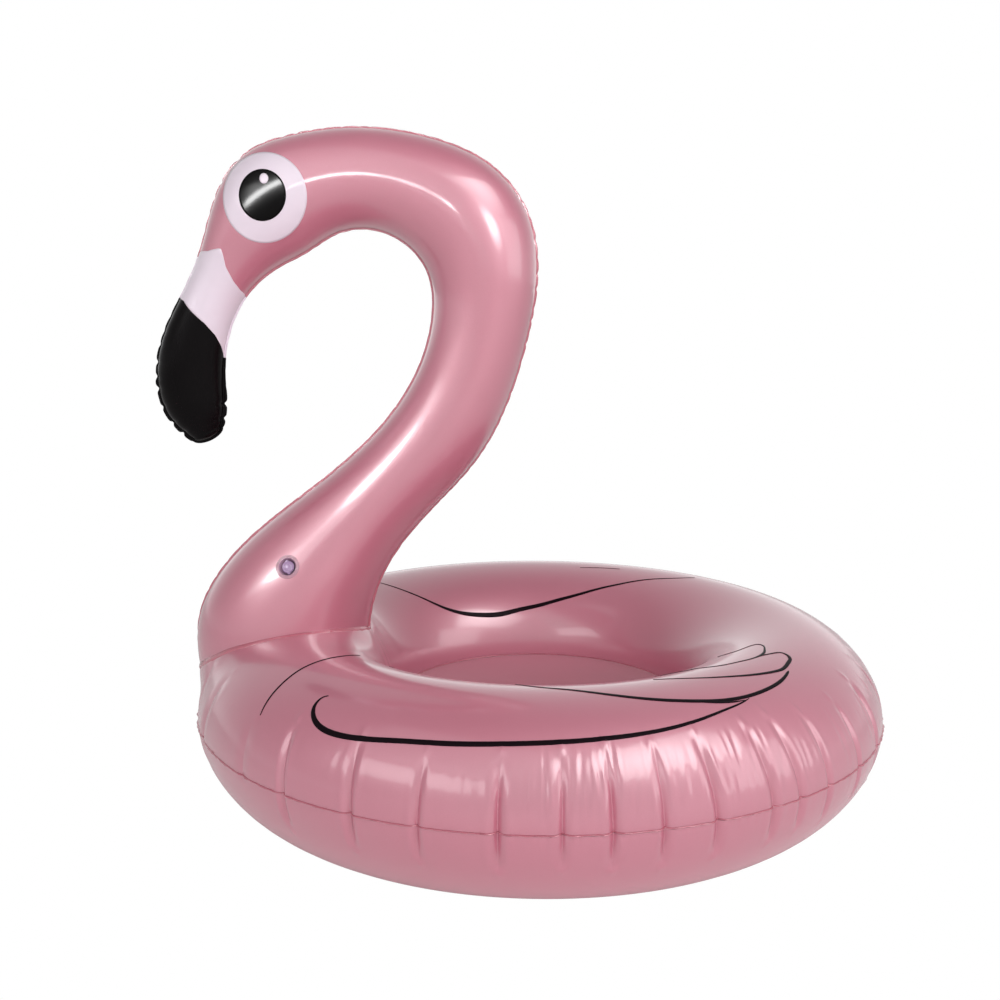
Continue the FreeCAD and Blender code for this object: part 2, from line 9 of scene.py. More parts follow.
import bmesh
import bpy
import numpy as np
from mathutils import Euler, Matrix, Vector
from mathutils.bvhtree import BVHTree

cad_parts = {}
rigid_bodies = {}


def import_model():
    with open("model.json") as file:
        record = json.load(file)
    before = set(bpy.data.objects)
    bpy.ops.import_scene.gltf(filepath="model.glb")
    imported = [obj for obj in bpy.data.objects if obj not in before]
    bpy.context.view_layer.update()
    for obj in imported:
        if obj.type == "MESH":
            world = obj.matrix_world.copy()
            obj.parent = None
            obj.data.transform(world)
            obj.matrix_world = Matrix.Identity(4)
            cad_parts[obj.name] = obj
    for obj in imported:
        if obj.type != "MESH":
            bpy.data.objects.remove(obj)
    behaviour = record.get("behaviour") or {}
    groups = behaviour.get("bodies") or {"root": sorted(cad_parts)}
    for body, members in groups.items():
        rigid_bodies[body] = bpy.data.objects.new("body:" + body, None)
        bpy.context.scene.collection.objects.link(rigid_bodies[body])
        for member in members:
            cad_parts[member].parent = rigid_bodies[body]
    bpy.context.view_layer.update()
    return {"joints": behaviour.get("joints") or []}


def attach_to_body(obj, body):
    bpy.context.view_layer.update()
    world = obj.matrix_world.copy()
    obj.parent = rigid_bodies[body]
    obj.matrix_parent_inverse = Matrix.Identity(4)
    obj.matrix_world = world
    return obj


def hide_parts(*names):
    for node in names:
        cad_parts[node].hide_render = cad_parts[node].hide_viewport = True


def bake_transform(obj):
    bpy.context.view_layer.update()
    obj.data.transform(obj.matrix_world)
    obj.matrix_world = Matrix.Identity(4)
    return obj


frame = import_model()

PI = math.pi

# ring
MID = 0.1234                     # height of the ring's seams
RING_R = 0.475                   # radius of the outer seam
TUBE_A = 0.1352                  # half breadth of the tube
TUBE_UP = 0.1183                 # tube above its seams
TUBE_DOWN = MID                  # tube below its seams, down to the floor
TUBE_K = 1.91                    # superellipse exponent of the upper half
BOTTOM_K = 1.77                  # and of the lower half
BOTTOM_FLAT = 0.015              # breadth of the flat under the tube, each way from its middle
SEAM_HALF = 0.001                # half thickness of the film at a seam
TUBE_R = RING_R - TUBE_A         # radius of the tube's middle line

# neck
NECK_FLANGE = 0.0035
NECK_K = 1.95                    # superellipse exponent of the neck's section
NECK_GAP = 0.0008                # film's distance from the middle plane at the edge weld
CAP_REACH = 0.0075               # rounded end of the beak
PUCKER_DEPTH = 0.0030
LEFT, RIGHT = -1.0, 1.0          # sign of y on each side of the bird

# viewpoint of the camera, from which the prints are also projected onto the neck
EYE = np.array([-0.0543, -1.7901, 0.5956 + MID])
EYE_PITCH = math.radians(9.876)
EYE_AHEAD = np.array([0, math.cos(EYE_PITCH), -math.sin(EYE_PITCH)])
EYE_DOWN = np.array([0, -math.sin(EYE_PITCH), -math.cos(EYE_PITCH)])
EYE_RIGHT = np.array([1.0, 0, 0])

rng = np.random.default_rng(7)


# ------------------------------------------------------------------ mesh helpers
def add_mesh(name, verts, faces, mat):
    me = bpy.data.meshes.new(name)
    points = np.asarray(verts, float).reshape(-1, 3)
    me.from_pydata([tuple(p) for p in points], [], [tuple(int(i) for i in f) for f in faces])
    me.update()
    ob = bpy.data.objects.new(name, me)
    bpy.context.scene.collection.objects.link(ob)
    me.polygons.foreach_set("use_smooth", np.ones(len(me.polygons), bool))
    me.materials.append(mat)
    return ob


def add_solid(name, verts, faces, mat):
    """Mesh whose face normals are made to agree."""
    ob = add_mesh(name, verts, faces, mat)
    bm = bmesh.new()
    bm.from_mesh(ob.data)
    bmesh.ops.recalc_face_normals(bm, faces=bm.faces)
    bm.to_mesh(ob.data)
    bm.free()
    ob.data.update()
    return ob


def grid_faces(rows, cols, close_rows=False, close_cols=False, start=0, flip=False):
    row, col = np.meshgrid(np.arange(rows if close_rows else rows - 1),
                           np.arange(cols if close_cols else cols - 1), indexing="ij")
    row_next, col_next = (row + 1) % rows, (col + 1) % cols
    faces = np.stack([row * cols + col, row * cols + col_next,
                      row_next * cols + col_next, row_next * cols + col], -1)
    faces = faces.reshape(-1, 4) + start
    return faces[:, ::-1] if flip else faces


def slab(name, top, bottom, mat, close_rows=False):
    """Closed thin piece between two grids of points (rows, cols, 3)."""
    rows, cols = top.shape[:2]
    count = rows * cols
    faces = [grid_faces(rows, cols, close_rows),
             grid_faces(rows, cols, close_rows, start=count, flip=True)]
    index = np.arange(count).reshape(rows, cols)

    def wall(line, flip):
        below = line + count
        quads = np.stack([line[:-1], below[:-1], below[1:], line[1:]], -1)
        faces.append(quads[:, ::-1] if flip else quads)

    if close_rows:
        index = np.r_[index, index[:1]]
    else:
        wall(index[0], True)
        wall(index[-1], False)
    wall(index[:, 0], False)
    wall(index[:, -1], True)
    return add_solid(name, np.stack([top, bottom]), np.concatenate(faces), mat)


def rod(name, grid, mat):
    """Closed piece through a row of loops, capped at both ends."""
    rows, cols = grid.shape[:2]
    faces = list(grid_faces(rows, cols, close_cols=True))
    faces.append(range(cols)[::-1])
    faces.append(range((rows - 1) * cols, rows * cols))
    return add_solid(name, grid, faces, mat)


def bvh_of(ob):
    me = ob.data
    return BVHTree.FromPolygons([v.co for v in me.vertices],
                                [p.vertices[:] for p in me.polygons])


# ------------------------------------------------------------------ curve helpers
def unit(vectors):
    return vectors / np.linalg.norm(vectors, axis=-1, keepdims=True)


def arc_length(points):
    return np.r_[0, np.cumsum(np.linalg.norm(np.diff(points, axis=0), axis=1))]


def polar(radius, azimuth, height):
    return np.stack([radius * np.cos(azimuth), radius * np.sin(azimuth), height], -1)


def superellipse(angle, exponent):
    """Unit superellipse over the half turn 0 to pi."""
    across = np.cos(angle)
    power = 2 / exponent
    return np.sign(across) * np.abs(across) ** power, np.abs(np.sin(angle)) ** power


def cubic(knots, values):
    """Natural cubic spline through (knots, values[, column]), as a function of arrays."""
    knots = np.asarray(knots, float)
    values = np.asarray(values, float)
    count = len(knots)
    gap = np.diff(knots)
    matrix = np.eye(count)
    rhs = np.zeros((count, values.shape[1]))
    for i in range(1, count - 1):
        matrix[i, i - 1:i + 2] = gap[i - 1], 2 * (gap[i - 1] + gap[i]), gap[i]
        rhs[i] = 6 * ((values[i + 1] - values[i]) / gap[i]
                      - (values[i] - values[i - 1]) / gap[i - 1])
    bend = np.linalg.solve(matrix, rhs)

    def evaluate(x):
        x = np.asarray(x, float)
        i = np.clip(np.searchsorted(knots, x, side="right") - 1, 0, count - 2)
        before = ((knots[i + 1] - x) / gap[i])[..., None]
        after = ((x - knots[i]) / gap[i])[..., None]
        curve = (before ** 3 - before) * bend[i] + (after ** 3 - after) * bend[i + 1]
        return before * values[i] + after * values[i + 1] + curve * (gap[i] ** 2)[..., None] / 6
    return evaluate


# ------------------------------------------------------------------ materials
SOCKETS = {"rough": "Roughness", "coat": "Coat Weight", "coat_rough": "Coat Roughness",
           "ior": "IOR", "coat_ior": "Coat IOR", "spec": "Specular IOR Level", "alpha": "Alpha"}


def new_material(name):
    mat = bpy.data.materials.new(name)
    mat.use_nodes = True
    return mat, mat.node_tree, mat.node_tree.nodes["Principled BSDF"]


def set_shader(shader, **values):
    for name, value in values.items():
        shader.inputs[SOCKETS[name]].default_value = value


def add_node(tree, kind, inputs, **settings):
    """New node; an input given as a socket is linked, any other is set."""
    node = tree.nodes.new(kind)
    for name, value in settings.items():
        setattr(node, name, value)
    for key, value in inputs.items():
        if isinstance(value, bpy.types.NodeSocket):
            tree.links.new(value, node.inputs[key])
        else:
            node.inputs[key].default_value = value
    return node


def noise(tree, coords, **inputs):
    inputs["Vector"] = coords.outputs["Object"]
    return add_node(tree, "ShaderNodeTexNoise", inputs).outputs["Fac"]


def multiply_add(tree, value, factor, addend):
    return add_node(tree, "ShaderNodeMath", {0: value, 1: factor, 2: addend},
                    operation="MULTIPLY_ADD").outputs[0]


def mix_colors(tree, factor, first, second):
    return add_node(tree, "ShaderNodeMix", {0: factor, 6: (*first, 1), 7: (*second, 1)},
                    data_type="RGBA").outputs[2]


def remap(tree, value, source, target):
    return add_node(tree, "ShaderNodeMapRange", {
        "Value": value, "From Min": source[0], "From Max": source[1],
        "To Min": target[0], "To Max": target[1]}).outputs[0]


def film_material(name, deep, light, rough, ior, coat):
    """Pearl film: a flaked rose whose shade drifts over the surface, under a clear gloss."""
    mat, tree, shader = new_material(name)
    coords = tree.nodes.new("ShaderNodeTexCoord")
    drift = noise(tree, coords, Scale=2.3, Detail=2.0)
    flakes = noise(tree, coords, Scale=900.0, Detail=1.0)
    shade = multiply_add(tree, flakes, factor=0.35, addend=0.0)
    shade = multiply_add(tree, drift, factor=0.7, addend=shade)
    tree.links.new(mix_colors(tree, shade, deep, light), shader.inputs["Base Color"])
    roughness = remap(tree, drift, source=(0.3, 0.7), target=(rough - 0.03, rough + 0.04))
    tree.links.new(roughness, shader.inputs["Roughness"])
    set_shader(shader, ior=ior, coat=coat, coat_rough=0.125, coat_ior=1.6)
    return mat


def plain_material(name, color, rough, coat=0.0, coat_rough=0.05, vary=0.04, **more):
    """One colour, mottled by the fraction `vary` either way."""
    mat, tree, shader = new_material(name)
    coords = tree.nodes.new("ShaderNodeTexCoord")
    mottle = noise(tree, coords, Scale=60.0)
    base = np.array(color)
    mixed = mix_colors(tree, mottle, np.clip(base * (1 - vary), 0, 1),
                       np.clip(base * (1 + vary), 0, 1))
    tree.links.new(mixed, shader.inputs["Base Color"])
    set_shader(shader, rough=rough, coat=coat, coat_rough=coat_rough, **more)
    return mat


FILM = film_material("pearl_film", deep=(0.472, 0.108, 0.167), light=(0.570, 0.166, 0.243),
                     rough=0.40, ior=2.1, coat=0.9)
WELD = film_material("weld_film", deep=(0.46, 0.10, 0.145), light=(0.56, 0.165, 0.22),
                     rough=0.24, ior=1.8, coat=0.5)
WHITE = plain_material("white_ink", (0.80, 0.69, 0.78), rough=0.34, coat=0.25,
                       coat_rough=0.12, vary=0.015)
BLACK = plain_material("black_ink", (0.0028, 0.0020, 0.0024), rough=0.26, spec=0.08)
PUPIL = plain_material("pupil_ink", (0.0018, 0.0014, 0.0016), rough=0.35, coat=0.12,
                       coat_rough=0.19, spec=0.01)
LINE = plain_material("line_ink", (0.006, 0.002, 0.004), rough=0.40, spec=0.06)
CLEAR = plain_material("clear_vinyl", (0.62, 0.36, 0.45), rough=0.20, coat=0.6,
                       coat_rough=0.06, alpha=0.55)
# the sleeve's vinyl is coloured lighter: painted fill light that softens the shade down in the
# valve's recess
SLEEVE_LIGHTENED = plain_material("sleeve_vinyl", (0.55, 0.34, 0.47), rough=0.22, coat=0.6, coat_rough=0.06)
VALVE = plain_material("valve_vinyl", (0.36, 0.22, 0.40), rough=0.24, coat=0.6, coat_rough=0.06)


# ------------------------------------------------------------------ neck surface
# Sections from the foot to the beak's tip, millimetres:
# back edge x, z above MID; front edge x, z above MID; half thickness along y
STATIONS = np.array([
    (-240.5, 62, -473, 2, 105), (-238.8, 87.7, -481.8, 43.1, 108),
    (-237.6, 105.2, -485.6, 84.3, 109), (-235.1, 122.5, -480.1, 125.1, 107),
    (-231.2, 139.6, -463.4, 162.8, 103), (-226, 156.3, -439.4, 196.5, 98),
    (-219.4, 172.6, -411.2, 226.7, 92), (-211.6, 188.3, -380.2, 254.1, 85),
    (-202.7, 203.4, -347.8, 279.8, 78.5), (-192.9, 217.9, -314.9, 304.9, 73),
    (-182.4, 231.7, -282.8, 330.4, 69), (-158.9, 258.9, -256.7, 353, 66.5),
    (-133.5, 285.6, -233.2, 375.6, 65.5), (-107.9, 312.8, -212.9, 398.2, 65.5),
    (-84.1, 342, -195.6, 420.8, 65.5), (-63.8, 373.9, -181, 443.7, 65.5),
    (-47, 408.3, -168.9, 467.1, 65), (-33.1, 444.6, -159.2, 491.7, 65),
    (-21.4, 482.7, -152.1, 517.9, 65), (-11.2, 523.2, -148.2, 544.8, 66),
    (-3.4, 566.6, -148.2, 569.6, 67.5), (-1.4, 613.6, -152, 589.7, 69.5),
    (-10, 664.2, -157.4, 603.1, 71), (-35.8, 711.9, -163, 612.4, 71.5),
    (-74.2, 746.5, -172.4, 623.8, 70.5), (-118.6, 767.8, -186.7, 635.8, 68.5),
    (-164.1, 780.6, -205.2, 645.9, 67), (-209.8, 787.9, -225.8, 651.7, 66),
    (-255.7, 789.6, -246.4, 652.6, 66), (-300.8, 785.5, -266.7, 648.7, 67),
    (-345.2, 776.6, -286.1, 640.1, 68.5), (-387.7, 760.1, -304.3, 628.3, 69),
    (-420.8, 729.6, -323.7, 617.1, 65.5), (-441.1, 689.2, -346.2, 606.1, 57.5),
    (-454.2, 648.9, -369.9, 591.2, 47.5), (-466.8, 612.2, -391.6, 571, 39.5),
    (-482.6, 578.9, -409, 546.1, 35), (-499.9, 546.9, -421.3, 518.1, 33.5),
    (-515.2, 514.3, -428.6, 489, 33.5), (-525, 477.2, -431.5, 463, 33),
    (-524.5, 435.8, -432.4, 440.4, 30.5), (-508.4, 395.1, -432.8, 416.6, 24.5),
    (-473.3, 363.3, -439.2, 381.6, 11)]) / 1000.0
LAST = len(STATIONS) - 1
END_STATION = LAST - 0.18        # where the beak's rounded end begins
station_at = cubic(np.arange(LAST + 1), STATIONS)


def neck_frame(station):
    """Centre (x, z), direction towards the back edge, half width and half thickness."""
    row = station_at(station)
    back, front = row[..., 0:2], row[..., 2:4]
    to_back = (back - front) / 2
    width = np.linalg.norm(to_back, axis=-1)
    return ((back + front) / 2, to_back / width[..., None], width - NECK_FLANGE,
            row[..., 4] - SEAM_HALF)


# dense samples of both edges of the neck, used to place the small puckers of the edge weld
EDGE_S = np.linspace(0, LAST, 4001)
_centre, _to_back, _width, _ = neck_frame(EDGE_S)
EDGE_LINE = {"back": _centre + _to_back * _width[:, None],
             "front": _centre - _to_back * _width[:, None]}
EDGE_LENGTH = {key: arc_length(line) for key, line in EDGE_LINE.items()}


def pucker_table(length, longest, seed):
    """Place, strength and breadth of each pucker; they crowd a little towards the beak."""
    draws = np.random.default_rng(seed)
    shortest = 0.012
    table = []
    place = draws.uniform(0, shortest)
    while place < length:
        if place > length - 0.16:
            strengths, breadths, steps = (0.6, 1.15), (0.70, 1.0), (0.0155, 0.0255)
        else:
            strengths, breadths, steps = (0.25, 1.0), (0.8, 1.4), (shortest, longest)
        table.append((place, draws.uniform(*strengths), draws.uniform(*breadths)))
        place += draws.uniform(*steps)
    return np.array(table)


PUCKERS = {"back": pucker_table(EDGE_LENGTH["back"][-1], longest=0.027, seed=3),
           "front": pucker_table(EDGE_LENGTH["front"][-1], longest=0.028, seed=5)}
# how strongly the film puckers at each edge: stations, strengths
PUCKER_GAIN = {
    "back": ([0, 3, 6, 12, 17, 19.5, 21.5, 24, 27, 29.5, 31, 33, 34.2, 36, 37, 38, 39.5, 41, 42],
             [0.1, 0.2, 0.2, 0.2, 0.25, 0.50, 0.55, 0.30, 0.20, 0.55, 0.85, 0.70, 0.20, 0.12,
              0.15, 0.45, 0.9, 1.1, 1.1]),
    "front": ([0, 3, 8, 14, 20, 27, 29, 31, 33, 36, 38.3, 39.2, 40.2, 40.9, 42],
              [0.1, 0.2, 0.2, 0.1, 0.06, 0.08, 0.30, 0.30, 0.10, 0.08, 0.08, 0.08, 0.14, 0.9,
               1.3])}


def puckers(station, edge):
    """Strength at the stations of an edge, and its dimples, about 1 at each one's middle."""
    length = np.interp(station, EDGE_S, EDGE_LENGTH[edge])
    table = PUCKERS[edge]
    after = np.searchsorted(table[:, 0], length)
    dimples = np.zeros_like(length)
    for step in (-1, 0):
        place, strength, breadth = table[np.clip(after + step, 0, len(table) - 1)].T
        dimples += strength.T * np.exp(-((length - place.T) / (0.0038 * breadth.T)) ** 2)
    return np.interp(station, *PUCKER_GAIN[edge]), dimples


def neck_disp(station, phi, width):
    """Outward displacement of the neck's film near its edge weld."""
    disp = 0.0
    for edge, distance, reach in (("back", width * phi, 0.012),
                                  ("front", width * (PI - phi), 0.010)):
        gain, dimples = puckers(station, edge)
        disp = disp - PUCKER_DEPTH * gain * dimples * np.exp(-(distance / reach) ** 1.2)
    return disp


def neck_point(station, phi, side, off=0.0, disp=True):
    """Point of the neck's film; phi runs from 0 at the back edge to pi at the front edge."""
    centre, to_back, width, depth = neck_frame(station)
    x, y = superellipse(phi, NECK_K)
    normal_x = np.sign(x) * np.abs(x) ** (NECK_K - 1) / width
    normal_y = y ** (NECK_K - 1) / depth
    size = np.hypot(normal_x, normal_y)
    out = off + (neck_disp(station, phi, width) if disp else 0.0)
    along = x * width + normal_x / size * out
    points = np.empty(np.broadcast(station, phi).shape + (3,))
    points[..., 0] = centre[..., 0] + to_back[..., 0] * along
    points[..., 2] = MID + centre[..., 1] + to_back[..., 1] * along
    points[..., 1] = side * (NECK_GAP + (y * depth + normal_y / size * out))
    return points


def ring_inside(points):
    """Positive outside the ring's tube, negative inside."""
    rho = np.hypot(points[..., 0], points[..., 1]) - TUBE_R
    z = points[..., 2] - MID
    half = np.where(z > 0, TUBE_UP, TUBE_DOWN)
    return (np.abs(rho) / TUBE_A) ** TUBE_K + (np.abs(z) / half) ** TUBE_K - 1


# ------------------------------------------------------------------ foot of the neck
_fraction = np.linspace(0, 1, 72)
PHI = PI * (_fraction - 0.055 * np.sin(2 * PI * _fraction))
# the weld at the neck's foot climbs the ring's film towards the hole:
# its sight lines from the eye, as slopes to the right and down
WELD_SIGHT = np.array([
    (-0.2336233, 0.1321816), (-0.2282438, 0.1252651), (-0.2074944, 0.1152747),
    (-0.1844395, 0.1091267), (-0.1613845, 0.1045157), (-0.1306446, 0.1006732),
    (-0.1137377, 0.0987520), (-0.1014417, 0.0979835), (-0.0922197, 0.0975992)])


def sight_slopes(points):
    """Slopes to the right and down of the sight lines from the eye to points."""
    away = points - EYE
    ahead = away @ EYE_AHEAD
    return away @ EYE_RIGHT / ahead, away @ EYE_DOWN / ahead


def foot_stations():
    """Station at which each line of the neck meets the ring's film."""
    found = np.zeros_like(PHI)
    for i, phi in enumerate(PHI):
        # where the line leaves the plain tube
        steps = np.linspace(0, 5.5, 500)
        inside = ring_inside(neck_point(steps, phi, RIGHT, disp=False))
        crossing = np.where((inside[:-1] <= 0) & (inside[1:] > 0))[0]
        plain = 0.0
        if len(crossing):
            k = crossing[-1]
            plain = steps[k] + ((steps[k + 1] - steps[k]) * (-inside[k])
                                / (inside[k + 1] - inside[k]))
        # where it passes above the weld's line
        steps = np.linspace(max(plain - 0.5, 0.0), plain + 3.0, 400)
        right, down = sight_slopes(neck_point(steps, phi, LEFT, disp=False))
        gap = down - np.interp(right, WELD_SIGHT[:, 0], WELD_SIGHT[:, 1])
        crossing = np.where((gap[:-1] > 0) & (gap[1:] <= 0))[0]
        found[i] = steps[crossing[0]] if len(crossing) else plain
    for _ in range(3):
        found[1:-1] = (found[:-2] + 2 * found[1:-1] + found[2:]) / 4
    return found


FOOT = foot_stations()
SKIN_START = FOOT - 0.14         # the neck's film begins a little below the weld


def foot_line(count, off=0.0, raise_by=0.0):
    """Closed line of the neck's foot, left side from back to front, then the right side."""
    half = np.linspace(0, PI, count // 2 + 1)
    stations = np.interp(half, PHI, FOOT) + raise_by
    left = neck_point(stations, half, LEFT, off, disp=False)
    right = neck_point(stations, half, RIGHT, off, disp=False)[::-1][1:-1]
    return np.concatenate([left, right])


def tube_nearest(points):
    """Nearest point of the ring's plain upper film, and the height of each point above it."""
    theta = np.arctan2(points[:, 1], points[:, 0])
    rho = np.hypot(points[:, 0], points[:, 1])
    across, up = superellipse(np.linspace(0, PI, 1500), TUBE_K)
    tube_rho = TUBE_R + TUBE_A * across
    tube_z = MID + SEAM_HALF + (TUBE_UP - SEAM_HALF) * up
    square = (tube_rho[None] - rho[:, None]) ** 2 + (tube_z[None] - points[:, 2][:, None]) ** 2
    i = square.argmin(1)
    sign = np.where(ring_inside(points) > 0, 1, -1)
    return polar(tube_rho[i], theta, tube_z[i]), np.sqrt(square.min(1)) * sign


LIFT_BASE, LIFT_HEIGHT = tube_nearest(foot_line(260))
LIFT_HEIGHT = np.clip(LIFT_HEIGHT, 0, 0.03)
FOLD_ORIGIN = np.array([-0.243, 0.0, 0.203])
# folds from the back of the foot: angle and its spread (deg), height, length
FOLDS = [(14, 13.0, 0.0007, 0.055), (46, 15.0, 0.0010, 0.070)]


def foot_bump(points):
    """How far the ring's film is drawn up towards the neck's foot, at points of plain film."""
    out = np.zeros(points.shape[:-1])
    near = (points[..., 0] < -0.10) & (np.abs(points[..., 1]) < 0.26)
    close = points[near]
    rise = np.zeros(len(close))
    chunk = 4000
    for k in range(0, len(close), chunk):
        part = close[k:k + chunk]
        distance = np.sqrt(((part[:, None, :] - LIFT_BASE[None]) ** 2).sum(-1))
        nearest = distance.min(1)
        weight = np.exp(-((distance - nearest[:, None]) / 0.018) ** 2)
        height = (weight * LIFT_HEIGHT[None]).sum(1) / weight.sum(1)
        reach = np.interp(part[:, 0], [-0.44, -0.33], [0.020, 0.040])
        rise[k:k + chunk] = height * np.exp(-(nearest / reach) ** 1.5)
    away = close - FOLD_ORIGIN
    angle = np.degrees(np.arctan2(np.abs(close[:, 1]), np.maximum(away[:, 0] + 0.030, 1e-4)))
    distance = np.sqrt((away ** 2).sum(1))
    for middle, spread, height, length in FOLDS:
        rise += ((away[:, 0] > -0.03) * height * np.exp(-((angle - middle) / spread) ** 2)
                 * np.exp(-((distance - 0.030) / (length * 0.6)) ** 2))
    out[near] = rise
    return out


# ------------------------------------------------------------------ ring surface
# main creases across the outer weld:
# azimuth (deg), depth (mm), half width (mm), reach above, reach below (m), lean
CREASE_TABLE = [
    (219.8, 0.8, 5.0, 0.070, 0.006, 0.10), (229.5, 3.0, 2.8, 0.090, 0.048, 0.12),
    (241.8, 3.4, 3.0, 0.092, 0.050, 0.06), (252.0, 2.8, 2.8, 0.085, 0.050, -0.02),
    (263.0, 3.8, 3.4, 0.090, 0.054, 0.0), (271.6, 3.2, 3.2, 0.095, 0.046, 0.0),
    (278.4, 3.6, 3.2, 0.100, 0.050, 0.03), (285.5, 3.4, 3.0, 0.098, 0.052, 0.03),
    (293.4, 3.6, 3.2, 0.108, 0.050, 0.08), (302.9, 3.0, 3.0, 0.104, 0.050, 0.10),
    (308.3, 2.6, 2.8, 0.110, 0.044, 0.12), (315.0, 2.4, 2.6, 0.100, 0.050, 0.10),
    (324.5, 2.2, 2.6, 0.095, 0.050, 0.08)]


def make_creases():
    """The table's creases, then drawn ones round the rest of the ring, in metres and radians."""
    creases = list(CREASE_TABLE)
    azimuth = 334.0
    while azimuth < 360 + 212:
        creases.append((azimuth % 360, rng.uniform(1.8, 3.8), rng.uniform(2.6, 3.4),
                        rng.uniform(0.080, 0.108), rng.uniform(0.044, 0.056),
                        rng.uniform(-0.08, 0.1)))
        azimuth += rng.uniform(7.0, 12.5)
    out = []
    for azimuth, depth, half, above, below, lean in creases:
        # shallower and broader on the left of the neck's foot
        by_foot = 180 < azimuth < 216
        out.append((math.radians(azimuth), depth * 1.15e-3 * (0.45 if by_foot else 1),
                    half * 1.1e-3 * (1.7 if by_foot else 1), above, below, lean))
    return out


def make_pleats(count, azimuths, highest_start, depths, halves, lengths, lowest):
    """Fine pleats: azimuth, depth, half width, start and end above, reach below, lean."""
    pleats = []
    for _ in range(count):
        azimuth = rng.uniform(*azimuths)
        start = rng.uniform(0.0, highest_start)
        soft = 0.12 if 190 < azimuth < 236 else (0.35 if azimuth < 262 else 1.0)
        pleats.append((math.radians(azimuth), soft * rng.uniform(*depths) * 1e-3,
                       rng.uniform(*halves) * 1e-3, start,
                       min(start + rng.uniform(*lengths), 0.115),
                       rng.uniform(0.0, lowest), rng.uniform(-0.1, 0.1)))
    return pleats


CREASES = make_creases()
PLEATS = make_pleats(230, azimuths=(0, 360), highest_start=0.05, depths=(0.15, 0.55),
                     halves=(1.8, 3.6), lengths=(0.03, 0.065), lowest=0.035)
PLEATS += make_pleats(46, azimuths=(266, 304), highest_start=0.045, depths=(0.3, 0.8),
                      halves=(1.6, 3.0), lengths=(0.045, 0.075), lowest=0.03)


def tube_section(phi, top):
    """Radius, height above the seams and normal, for phi 0 (outer seam) to pi (inner seam)."""
    flat = 0.0 if top else BOTTOM_FLAT
    half_x = TUBE_A - flat
    half_z = (TUBE_UP if top else TUBE_DOWN) - SEAM_HALF
    exponent = TUBE_K if top else BOTTOM_K
    across, up = superellipse(phi, exponent)
    x, z = half_x * across, half_z * up
    normal_x = np.sign(across) * np.abs(x / half_x) ** (exponent - 1) / half_x
    normal_z = np.abs(z / half_z) ** (exponent - 1) / half_z
    size = np.hypot(normal_x, normal_z)
    # the flat opens smoothly from the middle of the tube
    ease = np.clip(np.abs(np.cos(phi)) / 0.06, 0, 1)
    x = x + np.sign(across) * flat * ease * ease * (3 - 2 * ease)
    sign = 1.0 if top else -1.0
    return TUBE_R + x, sign * (SEAM_HALF + z), normal_x / size, sign * normal_z / size


def seam_arc(phi, top):
    """Distance along the section from the outer seam."""
    steps = np.linspace(0, PI, 1200)
    rho, z, _, _ = tube_section(steps, top)
    return np.interp(phi, steps, arc_length(np.stack([rho, z], -1)))


def ring_distance(theta, azimuth):
    """Distance round the outer seam from an azimuth."""
    return ((theta - azimuth + PI) % (2 * PI) - PI) * RING_R


def crease_disp(x, level, reach, depth, half, top):
    """Groove with raised banks, in a broad hollow, at x across it and level along it."""
    fade = np.clip(level / reach, 0, 1)
    envelope = (1 - fade ** 2.2) ** (1.3 if top else 0.9)
    groove = -1.25 * depth * np.exp(-(np.abs(x) / (half * (1.0 + 0.9 * fade ** 3))) ** 1.35)
    banks = 0.34 * depth * np.exp(-((np.abs(x) - 3.0 * half) / (1.6 * half)) ** 2)
    hollow = 0.50 * depth * np.exp(-(x / 0.015) ** 2)
    # the crease's far end is pinched into a small ridge
    ridge = (0.28 * depth * np.exp(-(x / (1.5 * half)) ** 2)
             * np.exp(-((level - reach * 0.97) / 0.010) ** 2))
    return (groove + banks - hollow) * envelope + ridge


def ring_disp(theta, level, top):
    """Outward displacement of the film at azimuth theta and distance level from the outer seam."""
    disp = np.zeros(np.broadcast(theta, level).shape)
    for azimuth, depth, half, above, below, lean in CREASES:
        x = ring_distance(theta, azimuth) + lean * level * (1 if top else -0.4)
        near = np.abs(x) < 0.05
        if near.any():
            crease = crease_disp(x, level, above if top else below, depth, half, top)
            disp = disp + np.where(near, crease, 0.0)
    for azimuth, depth, half, start, end, below, lean in PLEATS:
        x = ring_distance(theta, azimuth) + lean * level
        near = np.abs(x) < 0.014
        if not near.any():
            continue
        if top:
            envelope = np.clip(1 - ((level - (start + end) / 2) / ((end - start) / 2)) ** 2, 0, 1)
        else:
            envelope = np.clip(1 - level / max(below, 0.004), 0, 1) ** 2
        pleat = (-depth * np.exp(-(x / half) ** 2)
                 + 0.5 * depth * np.exp(-((x - 2.1 * half) / half) ** 2)
                 + 0.5 * depth * np.exp(-((x + 2.1 * half) / half) ** 2))
        disp = disp + np.where(near, pleat, 0.0) * envelope
    return disp


def ring_point(theta, phi, top, off=0.0, disp=True):
    rho, z, normal_rho, normal_z = tube_section(phi, top)
    out = off
    if disp:
        out = out + ring_disp(theta, seam_arc(phi, top), top)
        if top:
            out = out + foot_bump(polar(rho, theta, MID + z))
    return polar(rho + normal_rho * out, theta, MID + (z + normal_z * out))


def theta_samples():
    """Azimuths of the ring's rows: even, with more across each crease."""
    samples = list(np.linspace(0, 2 * PI, 1000, endpoint=False))
    steps = np.array([0.35, 1.0, 1.8, 2.7, 3.8, 5.2, 7, 9]) * 0.001 / RING_R
    for crease in CREASES:
        for step in np.r_[-steps, steps]:
            samples.append((crease[0] + step) % (2 * PI))
    samples = np.sort(np.array(samples))
    keep = [samples[0]]
    for sample in samples[1:]:
        if sample - keep[-1] > 0.0011:
            keep.append(sample)
    return np.array(keep)


